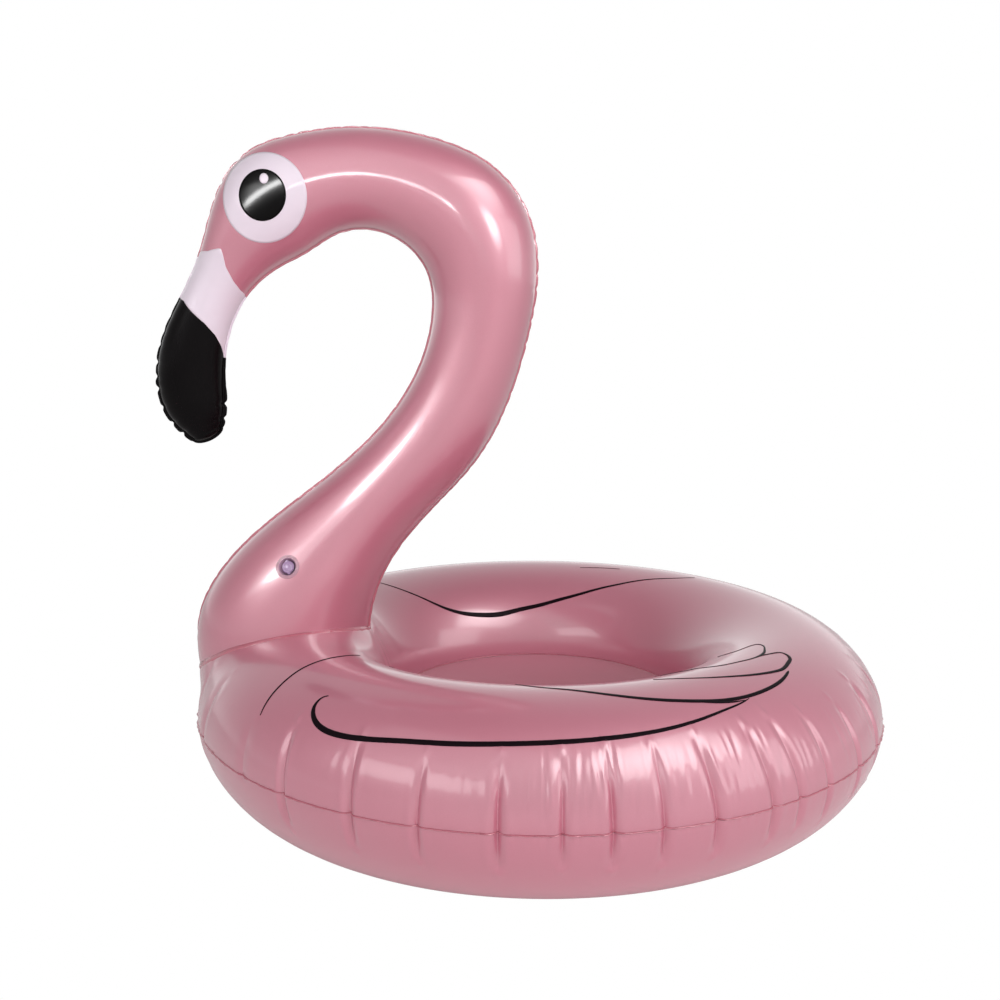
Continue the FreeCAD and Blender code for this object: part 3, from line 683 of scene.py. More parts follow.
def phi_samples(top):
    """Places round the section: close together near the outer seam, then wider."""
    steps = np.linspace(0, PI, 2000)
    length = seam_arc(steps, top)
    fine = np.arange(0.0, 0.118 if top else 0.062, 0.0042)
    rest = np.linspace(fine[-1] + 0.006, length[-1], 34 if top else 30)
    return np.interp(np.r_[fine, rest], length, steps)


THETA = theta_samples()


def ring_panel(name, top):
    theta, phi = np.meshgrid(THETA, phi_samples(top), indexing="ij")
    faces = grid_faces(*theta.shape, close_rows=True, flip=not top)
    return add_mesh(name, ring_point(theta, phi, top), faces, FILM)


ring_top = ring_panel("ring_top_skin", True)
ring_bottom = ring_panel("ring_bottom_skin", False)


# ------------------------------------------------------------------ projecting onto the neck
_station, _phi = np.meshgrid(np.linspace(24, END_STATION, 620), np.linspace(0, PI, 240),
                             indexing="ij")
NECK_BVH = BVHTree.FromPolygons(
    [Vector(p) for p in neck_point(_station, _phi, LEFT, disp=False).reshape(-1, 3)],
    [tuple(int(i) for i in f) for f in grid_faces(620, 240)])

# dense points of the head, to look up the station and phi of a place on it
DENSE_STATION, DENSE_PHI = np.meshgrid(np.linspace(30, END_STATION, 1400),
                                       np.linspace(0, PI, 181), indexing="ij")
DENSE = neck_point(DENSE_STATION, DENSE_PHI, LEFT, disp=False)


def sight(right, down):
    return EYE_AHEAD + right * EYE_RIGHT + down * EYE_DOWN


def cast(right, down):
    """Place and normal where a sight line meets the neck's plain film."""
    return NECK_BVH.ray_cast(Vector(EYE), Vector(sight(right, down)).normalized())[:2]


def edge_station(right, down, edge):
    """Station of the edge point nearest to where a sight line meets the middle plane."""
    ray = sight(right, down)
    place = EYE - EYE[1] / ray[1] * ray
    line = EDGE_LINE[edge] + [0, MID]
    return EDGE_S[np.argmin((line[:, 0] - place[0]) ** 2 + (line[:, 1] - place[2]) ** 2)]


def boundary(back, sights, front):
    """Rows (phi, station) along a line of ink that crosses the beak from back to front."""
    rows = [(0.0, edge_station(*back, "back"))]
    for right, down in sights:
        place, _ = cast(right, down)
        if place is not None:
            square = ((DENSE - np.array(place)) ** 2).sum(-1)
            i = np.unravel_index(np.argmin(square), square.shape)
            rows.append((DENSE_PHI[i], DENSE_STATION[i]))
    rows.append((PI, edge_station(*front, "front")))
    return np.array(sorted(rows))


# sight lines along the two boundaries of the beak's ink, as slopes to the right and down
WHITE_START = boundary(
    back=(-0.2297808, -0.1867450),
    sights=[(-0.2244013, -0.1913559), (-0.2197904, -0.1928929), (-0.2147951, -0.1936614),
            (-0.2131813, -0.1890504), (-0.2105684, -0.1790600), (-0.2048046, -0.1679168),
            (-0.1998094, -0.1613845)],
    front=(-0.1951984, -0.1567735))
BLACK_START = boundary(
    back=(-0.2451508, -0.1552365),
    sights=[(-0.2428453, -0.1529311), (-0.2374658, -0.1452461), (-0.2274753, -0.1360241),
            (-0.2190219, -0.1268021), (-0.2144109, -0.1183487)],
    front=(-0.2105684, -0.1098952))

# ------------------------------------------------------------------ neck skins
JOIN_STATION, HEAD_STATION = 6.0, 31.5
FOOT_ROWS, NECK_ROWS, FACE_ROWS, WHITE_ROWS, BLACK_ROWS = 46, 640, 46, 34, 96
WHITE_ROW = FOOT_ROWS + NECK_ROWS + FACE_ROWS      # first row of the beak's white
BLACK_ROW = WHITE_ROW + WHITE_ROWS                 # first row of the beak's black


def rows_between(start, end, count, with_end=False):
    part = (np.arange(count + with_end) / count)[:, None]
    return start * (1 - part) + end * part


def neck_stations():
    """Stations of the film's rows: from the foot's line to the boundaries of the beak's ink."""
    dense = np.linspace(JOIN_STATION, HEAD_STATION, 6000)
    length = np.interp(dense, EDGE_S, EDGE_LENGTH["back"] + EDGE_LENGTH["front"])
    even = np.linspace(length[0], length[-1], NECK_ROWS, endpoint=False)
    neck = np.interp(even, length, dense)[:, None] + 0 * PHI[None, :]
    white = np.interp(PHI, WHITE_START[:, 0], WHITE_START[:, 1])
    black = np.interp(PHI, BLACK_START[:, 0], BLACK_START[:, 1])
    return np.concatenate([rows_between(SKIN_START, JOIN_STATION, FOOT_ROWS), neck,
                           rows_between(HEAD_STATION, white, FACE_ROWS),
                           rows_between(white, black, WHITE_ROWS),
                           rows_between(black, END_STATION, BLACK_ROWS, with_end=True)])


NECK_STATIONS = neck_stations()


def beak_end():
    """Frame of the neck where the beak's rounded end begins, and the way down out of it."""
    centre, to_back, width, depth = neck_frame(np.array(END_STATION))
    tip = np.array([-to_back[1], to_back[0]])
    return centre, to_back, width, depth, -tip if tip[1] > 0 else tip


def neck_grid(side, off=0.0):
    points = neck_point(NECK_STATIONS, np.broadcast_to(PHI, NECK_STATIONS.shape), side, off)
    centre, to_back, width, depth, tip = beak_end()
    across, up = superellipse(PHI, NECK_K)
    cap = []
    for turn in np.linspace(0.12, 1.0, 9) * PI / 2:
        x = across * (width + off) * math.cos(turn)
        y = up * (depth + off) * math.cos(turn)
        middle = centre + tip * (CAP_REACH + off) * math.sin(turn)
        cap.append(np.stack([middle[0] + to_back[0] * x, side * (NECK_GAP + y),
                             MID + middle[1] + to_back[1] * x], -1))
    return np.concatenate([points, np.array(cap)])


def neck_skin(name, side):
    points = neck_grid(side)
    return add_mesh(name, points, grid_faces(*points.shape[:2], flip=side > 0), FILM)


neck_left = neck_skin("neck_left_skin", LEFT)
neck_right = neck_skin("neck_right_skin", RIGHT)

# ------------------------------------------------------------------ eyes and beak ink
PRINT_SINK = 0.0005              # how far a print's underside lies below the film
SIDES = (("left", LEFT), ("right", RIGHT))


def disc_print(name, centre, half, mat, lift, around, rings, side):
    """Oval print; centre and half size are sight slopes to the right and down."""
    angle, radius = np.meshgrid(np.linspace(0, 2 * PI, around, endpoint=False),
                                np.linspace(0.02, 1.0, rings), indexing="ij")
    rights = centre[0] + np.cos(angle) * radius * half[0]
    downs = centre[1] + np.sin(angle) * radius * half[1]
    points = np.full(angle.shape + (3,), np.nan)
    normals = np.zeros_like(points)
    for i in np.ndindex(angle.shape):
        place, normal = cast(rights[i], downs[i])
        if place is not None:
            points[i] = place
            normals[i] = -normal if normal.dot(Vector(EYE) - place) < 0 else normal
    verts = np.stack([points + normals * lift, points - normals * PRINT_SINK])
    if side == RIGHT:
        verts = verts * [1, -1, 1]
    count = around * rings
    index = np.arange(count).reshape(around, rings)
    rim = np.r_[index[:, -1], index[0, -1]]
    faces = [*grid_faces(around, rings, close_rows=True),
             *grid_faces(around, rings, close_rows=True, start=count, flip=True),
             *np.stack([rim[:-1], rim[1:], rim[1:] + count, rim[:-1] + count], -1),
             index[:, 0][::-1], index[:, 0] + count]
    return add_solid(name, verts, faces, mat)


prints = {}
for side_name, side in SIDES:
    for name, *shape in (
            ("eye_white_", (-0.1805970, -0.2324706), (0.0322769, 0.0349666), WHITE, 0.0003, 96, 22),
            ("eye_pupil_", (-0.1825182, -0.2343918), (0.0180597, 0.0199809), PUPIL, 0.0006, 72, 14),
            ("eye_glint_", (-0.1813655, -0.2470720), (0.0033814, 0.0039962), WHITE, 0.0009, 24, 4)):
        name += side_name
        prints[name] = disc_print(name, *shape, side)

for side_name, side in SIDES:
    over, under = neck_grid(side, 0.0004), neck_grid(side, -PRINT_SINK)
    for name, rows, mat in (("beak_white_", slice(WHITE_ROW, BLACK_ROW + 1), WHITE),
                            ("beak_black_", slice(BLACK_ROW, -1), BLACK)):
        name += side_name
        prints[name] = slab(name, over[rows], under[rows], mat)


# ------------------------------------------------------------------ edge weld of the neck
RIM = None                       # stands for the weld's own width in a half section


def weld_section(half, width):
    """Offsets (place, point) and heights of a weld's section, from its upper half."""
    section = half + [(offset, -height) for offset, height in half[::-1]]
    offsets = [width if offset is RIM else np.full_like(width, offset) for offset, _ in section]
    return np.stack(offsets, 1), np.array([height for _, height in section])


def perimeter():
    """Edge of the neck's film from the back of the foot round the beak to the front.

    Returns the points (x, z above MID), their stations, and 1 on the back edge, 0 on the front.
    """
    on_back = (EDGE_S >= FOOT[0] - 0.05) & (EDGE_S <= END_STATION)
    on_front = (EDGE_S >= FOOT[-1] - 0.05) & (EDGE_S <= END_STATION)
    back, front = EDGE_LINE["back"][on_back], EDGE_LINE["front"][on_front][::-1]
    centre, to_back, width, _, tip = beak_end()
    turn = np.linspace(0, PI, 60)[1:-1][:, None]
    arc = centre + to_back * (width * np.cos(turn)) + tip * (CAP_REACH * np.sin(turn))
    return (np.r_[back, arc, front],
            np.r_[EDGE_S[on_back], np.full(len(arc), END_STATION), EDGE_S[on_front][::-1]],
            np.r_[np.ones(len(back)), np.full(len(arc), 0.5), np.zeros(len(front))])


# upper half of the section: distance outwards, height from the middle plane
EDGE_HALF = [(-0.0020, 0.0010), (0.0004, 0.00075), (0.0012, 0.0004), (0.0019, 0.0003),
             (0.0026, 0.0006), (RIM, 0.0003)]


def edge_weld_grid():
    """Grid of the whole weld, with the station and back share of each of its rows."""
    points, stations, share = perimeter()
    measured = arc_length(points)
    length = np.linspace(0, measured[-1], 1900)
    line = np.stack([np.interp(length, measured, points[:, k]) for k in (0, 1)], -1)
    stations = np.interp(length, measured, stations)
    share = np.interp(length, measured, share)
    tangent = np.gradient(line, axis=0)
    for _ in range(6):
        tangent[1:-1] = (tangent[:-2] + tangent[1:-1] * 2 + tangent[2:]) / 4
    tangent = unit(tangent)
    outward = np.stack([tangent[:, 1], -tangent[:, 0]], -1)
    # the flange draws in at each pucker and stands out between
    gain, dimples = np.where(share > 0.5, puckers(stations, "back"), puckers(stations, "front"))
    draw = -PUCKER_DEPTH * gain * dimples
    wave = 0.0008 * gain * np.sin(length / 0.0095 + 1.5 * np.sin(length / 0.031))
    width = (np.interp(stations, [0, 31, 34.5, 38.5, 40.5, 42],
                       [0.0026, 0.0026, 0.0026, 0.0036, 0.0058, 0.0058])
             - 0.0006 * gain * dimples + 0.0002 * np.sin(length / 0.006))
    offsets, heights = weld_section(EDGE_HALF, width)
    moved = line[:, None] + outward[:, None] * (offsets + draw[:, None])[..., None]
    y = heights + wave[:, None] * np.clip(offsets / 0.004, 0, 1)
    return np.stack([moved[..., 0], y, MID + moved[..., 1]], -1), stations, share


EDGE, EDGE_STATIONS, BACK_SHARE = edge_weld_grid()


def first_back_row(station):
    return int(np.argmax((BACK_SHARE > 0.5) & (EDGE_STATIONS >= station)))


def last_front_row(station):
    past = (BACK_SHARE < 0.5) & (EDGE_STATIONS >= station)
    return len(past) - 1 - int(np.argmax(past[::-1]))


# the weld is pink along the neck, and inked white then black round the beak
white_back, black_back = first_back_row(WHITE_START[0, 1]), first_back_row(BLACK_START[0, 1])
white_front, black_front = last_front_row(WHITE_START[-1, 1]), last_front_row(BLACK_START[-1, 1])
edge_back = rod("neck_edge_weld_back", EDGE[:white_back + 1], WELD)
edge_front = rod("neck_edge_weld_front", EDGE[white_front:], WELD)
edge_white_top = rod("beak_edge_weld_white_top", EDGE[white_back:black_back + 1], WHITE)
edge_white_under = rod("beak_edge_weld_white_under", EDGE[black_front:white_front + 1], WHITE)
edge_black = rod("beak_edge_weld_black", EDGE[black_back:black_front + 1], BLACK)

# ------------------------------------------------------------------ foot weld on the ring
TOP_BVH = bvh_of(ring_top)


def on_film(points, lift):
    """Nearest places of the ring's film, lifted off it, and their normals."""
    out = np.empty_like(points)
    normals = np.empty_like(points)
    for i, point in enumerate(points):
        place, normal, _, _ = TOP_BVH.find_nearest(Vector(point))
        normals[i] = -normal if normal.z < 0 else normal
        out[i] = np.array(place) + normals[i] * lift
    return out, normals


# distance out from the neck's film, height above the ring's film
FOOT_WELD = [(0.0006, 0.0019), (0.0013, 0.0020), (0.0021, 0.0016), (0.0029, 0.0010),
             (0.0037, 0.0004), (0.0044, -0.0002)]
FOOT_WELD_SINK = -0.0006


def build_foot_weld():
    count = 640
    loop = foot_line(count)
    _, normals = on_film(loop, 0.0)
    outward = unit(np.cross(np.roll(loop, -1, 0) - np.roll(loop, 1, 0), normals))
    outward *= np.sign(((loop - loop.mean(0)) * outward).sum(1))[:, None]
    turn = np.linspace(0, 2 * PI, len(loop), endpoint=False)
    wobble = (1 + 0.07 * np.sin(turn * 31 + 3 * np.sin(turn * 5))
              + 0.05 * np.sin(turn * 71 + 2 * np.sin(turn * 7)))
    upper = [foot_line(count, 0.0007, raise_by=0.10)]
    lower = [foot_line(count, FOOT_WELD_SINK, raise_by=0.10)]
    for distance, lift in FOOT_WELD:
        line = loop + outward * (distance * wobble)[:, None]
        upper.append(on_film(line, lift)[0])
        lower.append(on_film(line, FOOT_WELD_SINK)[0])
    return slab("neck_foot_weld_band", np.stack(upper, 1), np.stack(lower, 1), WELD,
                close_rows=True)


foot_weld = build_foot_weld()

# ------------------------------------------------------------------ ring welds
# upper half of the section: distance from the seam, height above it
SEAM_SECTION = [(-0.0030, 0.0010), (-0.0003, 0.0009), (0.0004, 0.0006), (0.0009, 0.00045),
                (RIM, 0.0002)]


def seam_weld(name, inner):
    theta = np.linspace(0, 2 * PI, 900, endpoint=False) if inner else THETA
    line = ring_point(theta, np.full_like(theta, PI if inner else 0.0), True, disp=not inner)
    outward = polar(1.0, theta, np.zeros_like(theta)) * (-1.0 if inner else 1.0)
    wave = 0.0003 * np.sin(theta * 97) + 0.0003 * np.sin(theta * 211 + 1.0)
    wave = wave * (0.4 if inner else 1.0)
    width = ((0.0016 if inner else 0.0017) + 0.0003 * np.sin(theta * 61)
             + 0.0003 * np.sin(theta * 173))
    offsets, heights = weld_section(SEAM_SECTION, width)
    grid = line[:, None] + outward[:, None] * offsets[..., None]
    grid[..., 2] = MID + heights + wave[:, None] * np.clip(offsets / 0.002, 0, 1)
    return add_solid(name, grid, grid_faces(*offsets.shape, close_rows=True, close_cols=True),
                     WELD)


outer_weld = seam_weld("ring_outer_weld", inner=False)
inner_weld = seam_weld("ring_inner_weld", inner=True)

# ------------------------------------------------------------------ printed wing lines
# (radius mm, azimuth deg, half width mm) on the bird's left; the right side mirrors its lines
LINES = {
    "chest": [
        (447, 219.7, 0.4), (441, 219.3, 0.8), (430, 218.8, 1.1), (409, 218.3, 1.2),
        (384, 217.9, 1.2), (355, 218.0, 1.2), (326, 217.9, 1.1), (304, 216.6, 0.8),
        (287, 214.8, 0.4)],
    "wing": [
        (404, 230.4, 0.4), (407, 229.7, 0.9), (418, 229.4, 1.9), (426, 230.0, 2.4),
        (434, 231.5, 2.6), (439, 233.6, 2.6), (441, 236.4, 2.5), (440, 241.1, 2.4),
        (436, 247.6, 2.4), (433, 255.3, 2.5), (430, 262.7, 2.5), (427, 271.6, 2.5),
        (424, 280.7, 2.4), (421, 287.2, 2.1), (415, 294.6, 1.7), (409, 300.1, 1.3),
        (404, 305.0, 0.8), (402, 306.4, 0.3)],
    "wing_tip": [
        (403, 305.4, 0.4), (400.5, 302.1, 1.3), (396, 299.4, 1.9), (391, 296.8, 1.7),
        (386, 294.6, 0.6)],
    "feather1": [
        (301, 263.1, 0.5), (318, 266.6, 1.2), (333, 272.7, 1.9), (353, 280.0, 2.3),
        (375, 288.4, 2.6), (388, 295.4, 2.7), (395.5, 300.8, 2.5), (398.5, 306.1, 2.4),
        (397.5, 311.3, 2.3), (394, 316.4, 2.2), (387, 321.1, 1.6), (385.5, 321.9, 0.5)],
    "feather2": [
        (320, 293.8, 0.4), (345, 302.5, 1.0), (358, 308.0, 1.5), (370, 313.9, 2.0),
        (376.5, 318.2, 2.1), (379, 321.4, 2.2), (375, 325.3, 2.5), (366, 328.7, 2.0),
        (357, 329.2, 1.3), (348, 327.2, 1.1), (341, 324.3, 1.1), (337, 320.8, 1.1),
        (332, 317.7, 0.9), (325, 313.5, 0.9), (318, 311.1, 0.7), (299, 307.6, 0.4)],
    "feather3": [
        (338, 322.6, 0.3), (339, 323.6, 1.3), (339.5, 325.0, 1.6), (338, 327.1, 1.7),
        (333, 329.6, 1.2), (326, 332.3, 0.8), (317, 333.6, 0.7), (304, 330.9, 0.6),
        (292, 327.3, 0.5), (276, 326.3, 0.4)],
    "back": [
        (317, 219.9, 0.5), (288, 222.9, 1.0), (264, 227.1, 1.3), (244, 232.6, 1.7),
        (232, 239.7, 2.1), (227, 247.8, 2.3), (226, 256.1, 2.4), (230, 264.4, 2.3),
        (235, 272.4, 2.2), (243, 279.9, 2.2), (253, 287.0, 2.0), (266, 293.5, 1.8),
        (280, 299.6, 1.6), (296, 305.1, 1.3), (311, 310.4, 0.9), (327, 315.2, 0.6),
        (344, 318.1, 0.3)],
    "back_edge": [
        (319, 284.2, 0.2), (322, 287.4, 0.5), (325, 291.5, 0.5), (327, 295.8, 0.3)],
}
LINES["wing_short"] = LINES["wing"][:12] + [(421, 286.0, 0.5)]
LINES["chest_short"] = LINES["chest"][:6] + [(330, 217.9, 0.3)]
LINES["back_in"] = [(276, 224.9, 0.3)] + LINES["back"][2:14] + [(303, 307.6, 0.3)]
SIDE_LINES = {
    "left": ("chest", "wing", "wing_tip", "feather1", "feather2", "feather3", "back_in"),
    "right": ("chest_short", "wing_short", "back", "back_edge")}


def wing_line(name, table, side):
    """Printed stroke on the ring's upper film."""
    table = np.array(table, float)
    line = polar(table[:, 0] / 1000, np.radians(table[:, 1]), 0 * table[:, 0])[:, :2]
    if side == RIGHT:
        line[:, 1] *= -1
    knots = arc_length(line)
    length = np.linspace(0, knots[-1], max(int(knots[-1] / 0.0022), 24))
    middle = cubic(knots, line)(length)
    half = np.clip(np.interp(length, knots, table[:, 2] / 1000), 0.0003, 1)
    tangent = unit(np.gradient(middle, axis=0))
    across = np.stack([-tangent[:, 1], tangent[:, 0]], -1)
    spread = half[:, None] * np.linspace(-1, 1, 5)
    stroke = middle[:, None] + across[:, None] * spread[..., None]
    theta = np.arctan2(stroke[..., 1], stroke[..., 0])
    steps = np.linspace(0, PI, 3000)
    phi = np.interp(-np.hypot(stroke[..., 0], stroke[..., 1]),
                    -tube_section(steps, True)[0], steps)
    return slab(name, ring_point(theta, phi, True, 0.00045),
                ring_point(theta, phi, True, -0.0006), LINE)


for side_name, side in SIDES:
    for line_name in SIDE_LINES[side_name]:
        name = "line_%s_%s" % (line_name, side_name)
        prints[name] = wing_line(name, LINES[line_name], side)


# ------------------------------------------------------------------ what rides on what
def attach(part, body, slot, *cad_names):
    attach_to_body(part, body)
    if cad_names:
        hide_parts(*cad_names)


def attach_between(part, bodies, start, end, slot, *cad_names):
    """Part left where it stands, its placement baked into its mesh."""
    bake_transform(part)
    if cad_names:
        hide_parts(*cad_names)


# ------------------------------------------------------------------ valves
# Heights are along the valve's outward axis, from the film at its centre.
JOINTS = {j["name"]: j for j in frame["joints"]}
RECESS = 0.0115                  # radius of the flange's opening
FLANGE = 0.0163                  # outer radius of the flange
PIVOT = 0.0088                   # plug's hinge from the valve's axis
MOUTH = -0.0026                  # top of the stem
STEM_R = 0.0055
BORE = 0.0030
STEM_END = -0.016
FLAP_TOP = STEM_END - 0.00006

# closed sections of the turned parts: radius, height
FLANGE_SECTION = [
    (RECESS, -0.0012), (RECESS, 0.0008), (RECESS + 0.0005, 0.0014), (RECESS + 0.0011, 0.0016),
    (RECESS + 0.0017, 0.0013), (0.0145, 0.0009), (0.0149, 0.00055), (0.0153, 0.0009),
    (0.0159, 0.0009), (FLANGE, 0.0004), (FLANGE, -0.0006)]
SLEEVE_SECTION = [
    (RECESS + 0.0004, 0.0002), (RECESS - 0.0004, -0.0030), (RECESS - 0.0014, -0.0060),
    (RECESS - 0.0030, -0.0090), (0.0070, -0.0122), (STEM_R + 0.0002, -0.0134),
    (STEM_R + 0.0002, -0.0142), (0.0074, -0.0134), (RECESS - 0.0020, -0.0094),
    (RECESS - 0.0004, -0.0060), (RECESS + 0.0006, -0.0030), (RECESS + 0.0013, -0.0002)]
STEM_SECTION = [
    (BORE, STEM_END), (STEM_R - 0.0004, STEM_END), (STEM_R, STEM_END + 0.0006),
    (STEM_R, MOUTH - 0.0040), (0.0064, MOUTH - 0.0028), (0.0080, MOUTH - 0.0016),
    (0.0086, MOUTH - 0.0011), (0.0086, MOUTH - 0.0005), (0.0083, MOUTH - 0.0001),
    (0.0036, MOUTH - 0.0001), (BORE, MOUTH - 0.0005)]
# open sections, from the axis back to the axis
AXIS = 0.00001
PLUG_SECTION = [
    (AXIS, MOUTH - 0.0050), (0.0012, MOUTH - 0.0050), (0.0017, MOUTH - 0.0046),
    (0.0023, MOUTH - 0.0026), (0.00285, MOUTH - 0.0002), (0.0034, MOUTH), (0.0070, MOUTH),
    (0.0075, MOUTH + 0.0003), (0.0076, MOUTH + 0.0008), (0.0074, MOUTH + 0.0013),
    (0.0068, MOUTH + 0.0016), (0.0056, MOUTH + 0.0015), (0.0050, MOUTH + 0.0010),
    (0.0036, MOUTH + 0.0009), (0.0030, MOUTH + 0.0013), (0.0020, MOUTH + 0.0015),
    (AXIS, MOUTH + 0.0015)]
FLAP_SECTION = [
    (AXIS, STEM_END - 0.00062), (0.0036, STEM_END - 0.00062), (0.0039, STEM_END - 0.0004),
    (0.0039, FLAP_TOP), (AXIS, FLAP_TOP)]
# strap from the cap's rim to the collar's rim: distance towards the hinge, height
STRAP_PATH = [
    (0.0073, MOUTH + 0.0009), (0.0085, MOUTH + 0.0011), (0.0096, MOUTH + 0.0007),
    (0.0101, MOUTH - 0.0001), (0.0097, MOUTH - 0.0008), (0.0085, MOUTH - 0.0009)]


def valve_frame(key):
    """Origin, direction towards the plug's hinge, hinge axis and outward axis."""
    opening = JOINTS[key + "_valve_plug_open"]
    outward = unit(np.array(JOINTS[key + "_valve_pop"]["axis"], float))
    hinge = unit(np.array(opening["axis"], float))
    across = np.cross(hinge, outward)
    pivot = np.array(opening["pos_m"], float)
    return pivot - across * PIVOT - outward * MOUTH, across, hinge, outward


def to_world(place, points):
    origin, across, hinge, outward = place
    points = np.asarray(points, float)
    return (origin + points[..., 0:1] * across + points[..., 1:2] * hinge
            + points[..., 2:3] * outward)


def lathe(name, section, place, mat, count=48, closed=True):
    """Turned piece from a (radius, height) section."""
    radius, height = np.array(section, float).T
    angle = np.linspace(0, 2 * PI, count, endpoint=False)[:, None]
    grid = polar(radius, angle, height + 0 * angle) if False else np.stack(
        np.broadcast_arrays(np.cos(angle) * radius, np.sin(angle) * radius, height), -1)
    faces = grid_faces(count, len(section), close_rows=True, close_cols=closed)
    return add_solid(name, to_world(place, grid), faces, mat)


def cut_hole(ob, place, radius):
    """Opens a round hole in a film mesh, with its rim drawn onto a true circle."""
    reach = 0.02
    origin, across, hinge, outward = (Vector(axis) for axis in place)
    bm = bmesh.new()
    bm.from_mesh(ob.data)
    inside = []
    for face in bm.faces:
        away = face.calc_center_median() - origin
        distance = math.hypot(away.dot(across), away.dot(hinge))
        if abs(away.dot(outward)) < reach and distance < radius:
            inside.append(face)
    bmesh.ops.delete(bm, geom=inside, context="FACES")
    loose = [vert for vert in bm.verts if not vert.link_faces]
    bmesh.ops.delete(bm, geom=loose, context="VERTS")
    for vert in bm.verts:
        if vert.is_boundary:
            away = vert.co - origin
            x, y, z = away.dot(across), away.dot(hinge), away.dot(outward)
            distance = math.hypot(x, y)
            if abs(z) < reach and 1e-6 < distance < radius * 1.35:
                vert.co = (origin + across * (x / distance * radius)
                           + hinge * (y / distance * radius) + outward * z)
    bm.to_mesh(ob.data)
    bm.free()
    ob.data.update()


def valve_flange(name, place, skin):
    """Welded flange, laid on the film."""
    origin, across, hinge, outward = place
    bvh = bvh_of(skin)
    angles = np.linspace(0, 2 * PI, 64, endpoint=False)
    grid = np.zeros((len(angles), len(FLANGE_SECTION), 3))
    for i, angle in enumerate(angles):
        for j, (radius, lift) in enumerate(FLANGE_SECTION):
            spot = origin + (across * math.cos(angle) * radius + hinge * math.sin(angle) * radius)
            hit = bvh.ray_cast(Vector(spot + outward * 0.02), Vector(-outward))[0]
            grid[i, j] = (np.array(hit) if hit is not None else spot) + outward * lift
    faces = grid_faces(*grid.shape[:2], close_rows=True, close_cols=True)
    return add_solid(name, grid, faces, CLEAR)


def valve_pull_tab(name, place):
    """Rounded tab on the plug's rim, on the side away from its hinge."""
    loops = []
    for x in np.linspace(-0.0070, -0.0100, 7):
        half = 0.0026 * math.sqrt(max(1 - ((-x - 0.0070) / 0.0031) ** 2, 0.02))
        loops.append([(x, half * math.cos(turn), MOUTH + 0.00055 + 0.00045 * math.sin(turn))
                      for turn in np.linspace(0, 2 * PI, 16, endpoint=False)])
    return rod(name, to_world(place, loops), VALVE)


def valve_strap(name, place):
    count = 22
    last = len(STRAP_PATH) - 1
    path = cubic(np.arange(last + 1), STRAP_PATH)(np.linspace(0, last, count))
    tangent = unit(np.gradient(path, axis=0))
    normal = np.stack([-tangent[:, 1], tangent[:, 0]], -1)
    half = 0.0017 + 0.0006 * np.linspace(-1, 1, count) ** 2
    y = half[:, None] * np.linspace(-1, 1, 5)

    def face(lift):
        x, z = (path + normal * lift).T
        return to_world(place, np.stack(np.broadcast_arrays(x[:, None], y, z[:, None]), -1))

    return slab(name, face(0.0002), face(-0.0002), VALVE)


def valve_flap_lug(name, place):
    """Small plate at the flap's rim, towards the plug's hinge."""
    def face(z):
        return to_world(place, [[(x, y, z) for y in np.linspace(-0.0013, 0.0013, 4)]
                                for x in np.linspace(0.0034, 0.0047, 4)])

    return slab(name, face(FLAP_TOP), face(STEM_END - 0.0006), CLEAR)


def build_valve(body, skin):
    key = body + "_valve_"
    place = valve_frame(body)
    origin, outward = place[0], place[3]
    flange = valve_flange(key + "flange_ring", place, skin)
    cut_hole(skin, place, RECESS + 0.0012)
    sleeve = lathe(key + "sleeve_skin", SLEEVE_SECTION, place, SLEEVE_LIGHTENED, count=56)
    stem = lathe(key + "stem_body", STEM_SECTION, place, VALVE)
    plug = lathe(key + "plug_cap", PLUG_SECTION, place, VALVE, closed=False)
    tab = valve_pull_tab(key + "pull_tab", place)
    strap = valve_strap(key + "strap_skin", place)
    flap = lathe(key + "flap_disc", FLAP_SECTION, place, CLEAR, count=32, closed=False)
    lug = valve_flap_lug(key + "flap_lug", place)

    attach(flange, body, "clear_vinyl", key + "flange")
    attach(stem, key + "stem", "valve_vinyl", key + "stem")
    attach(plug, key + "plug", "valve_vinyl", key + "plug")
    attach(tab, key + "plug", "valve_vinyl")
    attach(flap, key + "flap", "clear_vinyl", key + "flap")
    attach(lug, key + "flap", "clear_vinyl")
    attach_between(sleeve, (body, key + "stem"), origin + outward * -0.0005,
                   origin + outward * -0.0135, "clear_vinyl", key + "sleeve")
    attach_between(strap, (key + "stem", key + "plug"), origin + outward * (MOUTH - 0.0008),
                   origin + outward * (MOUTH + 0.0009), "valve_vinyl", key + "strap")


build_valve("neck", neck_left)
build_valve("ring", ring_top)

# ------------------------------------------------------------------ ring, neck and prints
attach(ring_top, "ring", "pearl_film", "ring_top_panel")
attach(ring_bottom, "ring", "pearl_film", "ring_bottom_panel")
attach(outer_weld, "ring", "weld", "ring_outer_seam")
attach(inner_weld, "ring", "weld", "ring_inner_seam")
attach(foot_weld, "ring", "weld", "neck_foot_weld")
BEND_START, BEND_END = (-0.352, 0.0, 0.244), (-0.352, 0.0, 0.306)
for part, slot, *cad_names in (
        (neck_left, "pearl_film", "neck_left_panel", "neck_foot_left"),
        (neck_right, "pearl_film", "neck_right_panel", "neck_foot_right"),
        (edge_back, "weld", "neck_edge_seam", "neck_foot_seam"),
        (edge_front, "weld")):
    attach_between(part, ("ring", "neck"), BEND_START, BEND_END, slot, *cad_names)
attach(edge_white_top, "neck", "white_ink")
attach(edge_white_under, "neck", "white_ink")
attach(edge_black, "neck", "black_ink")
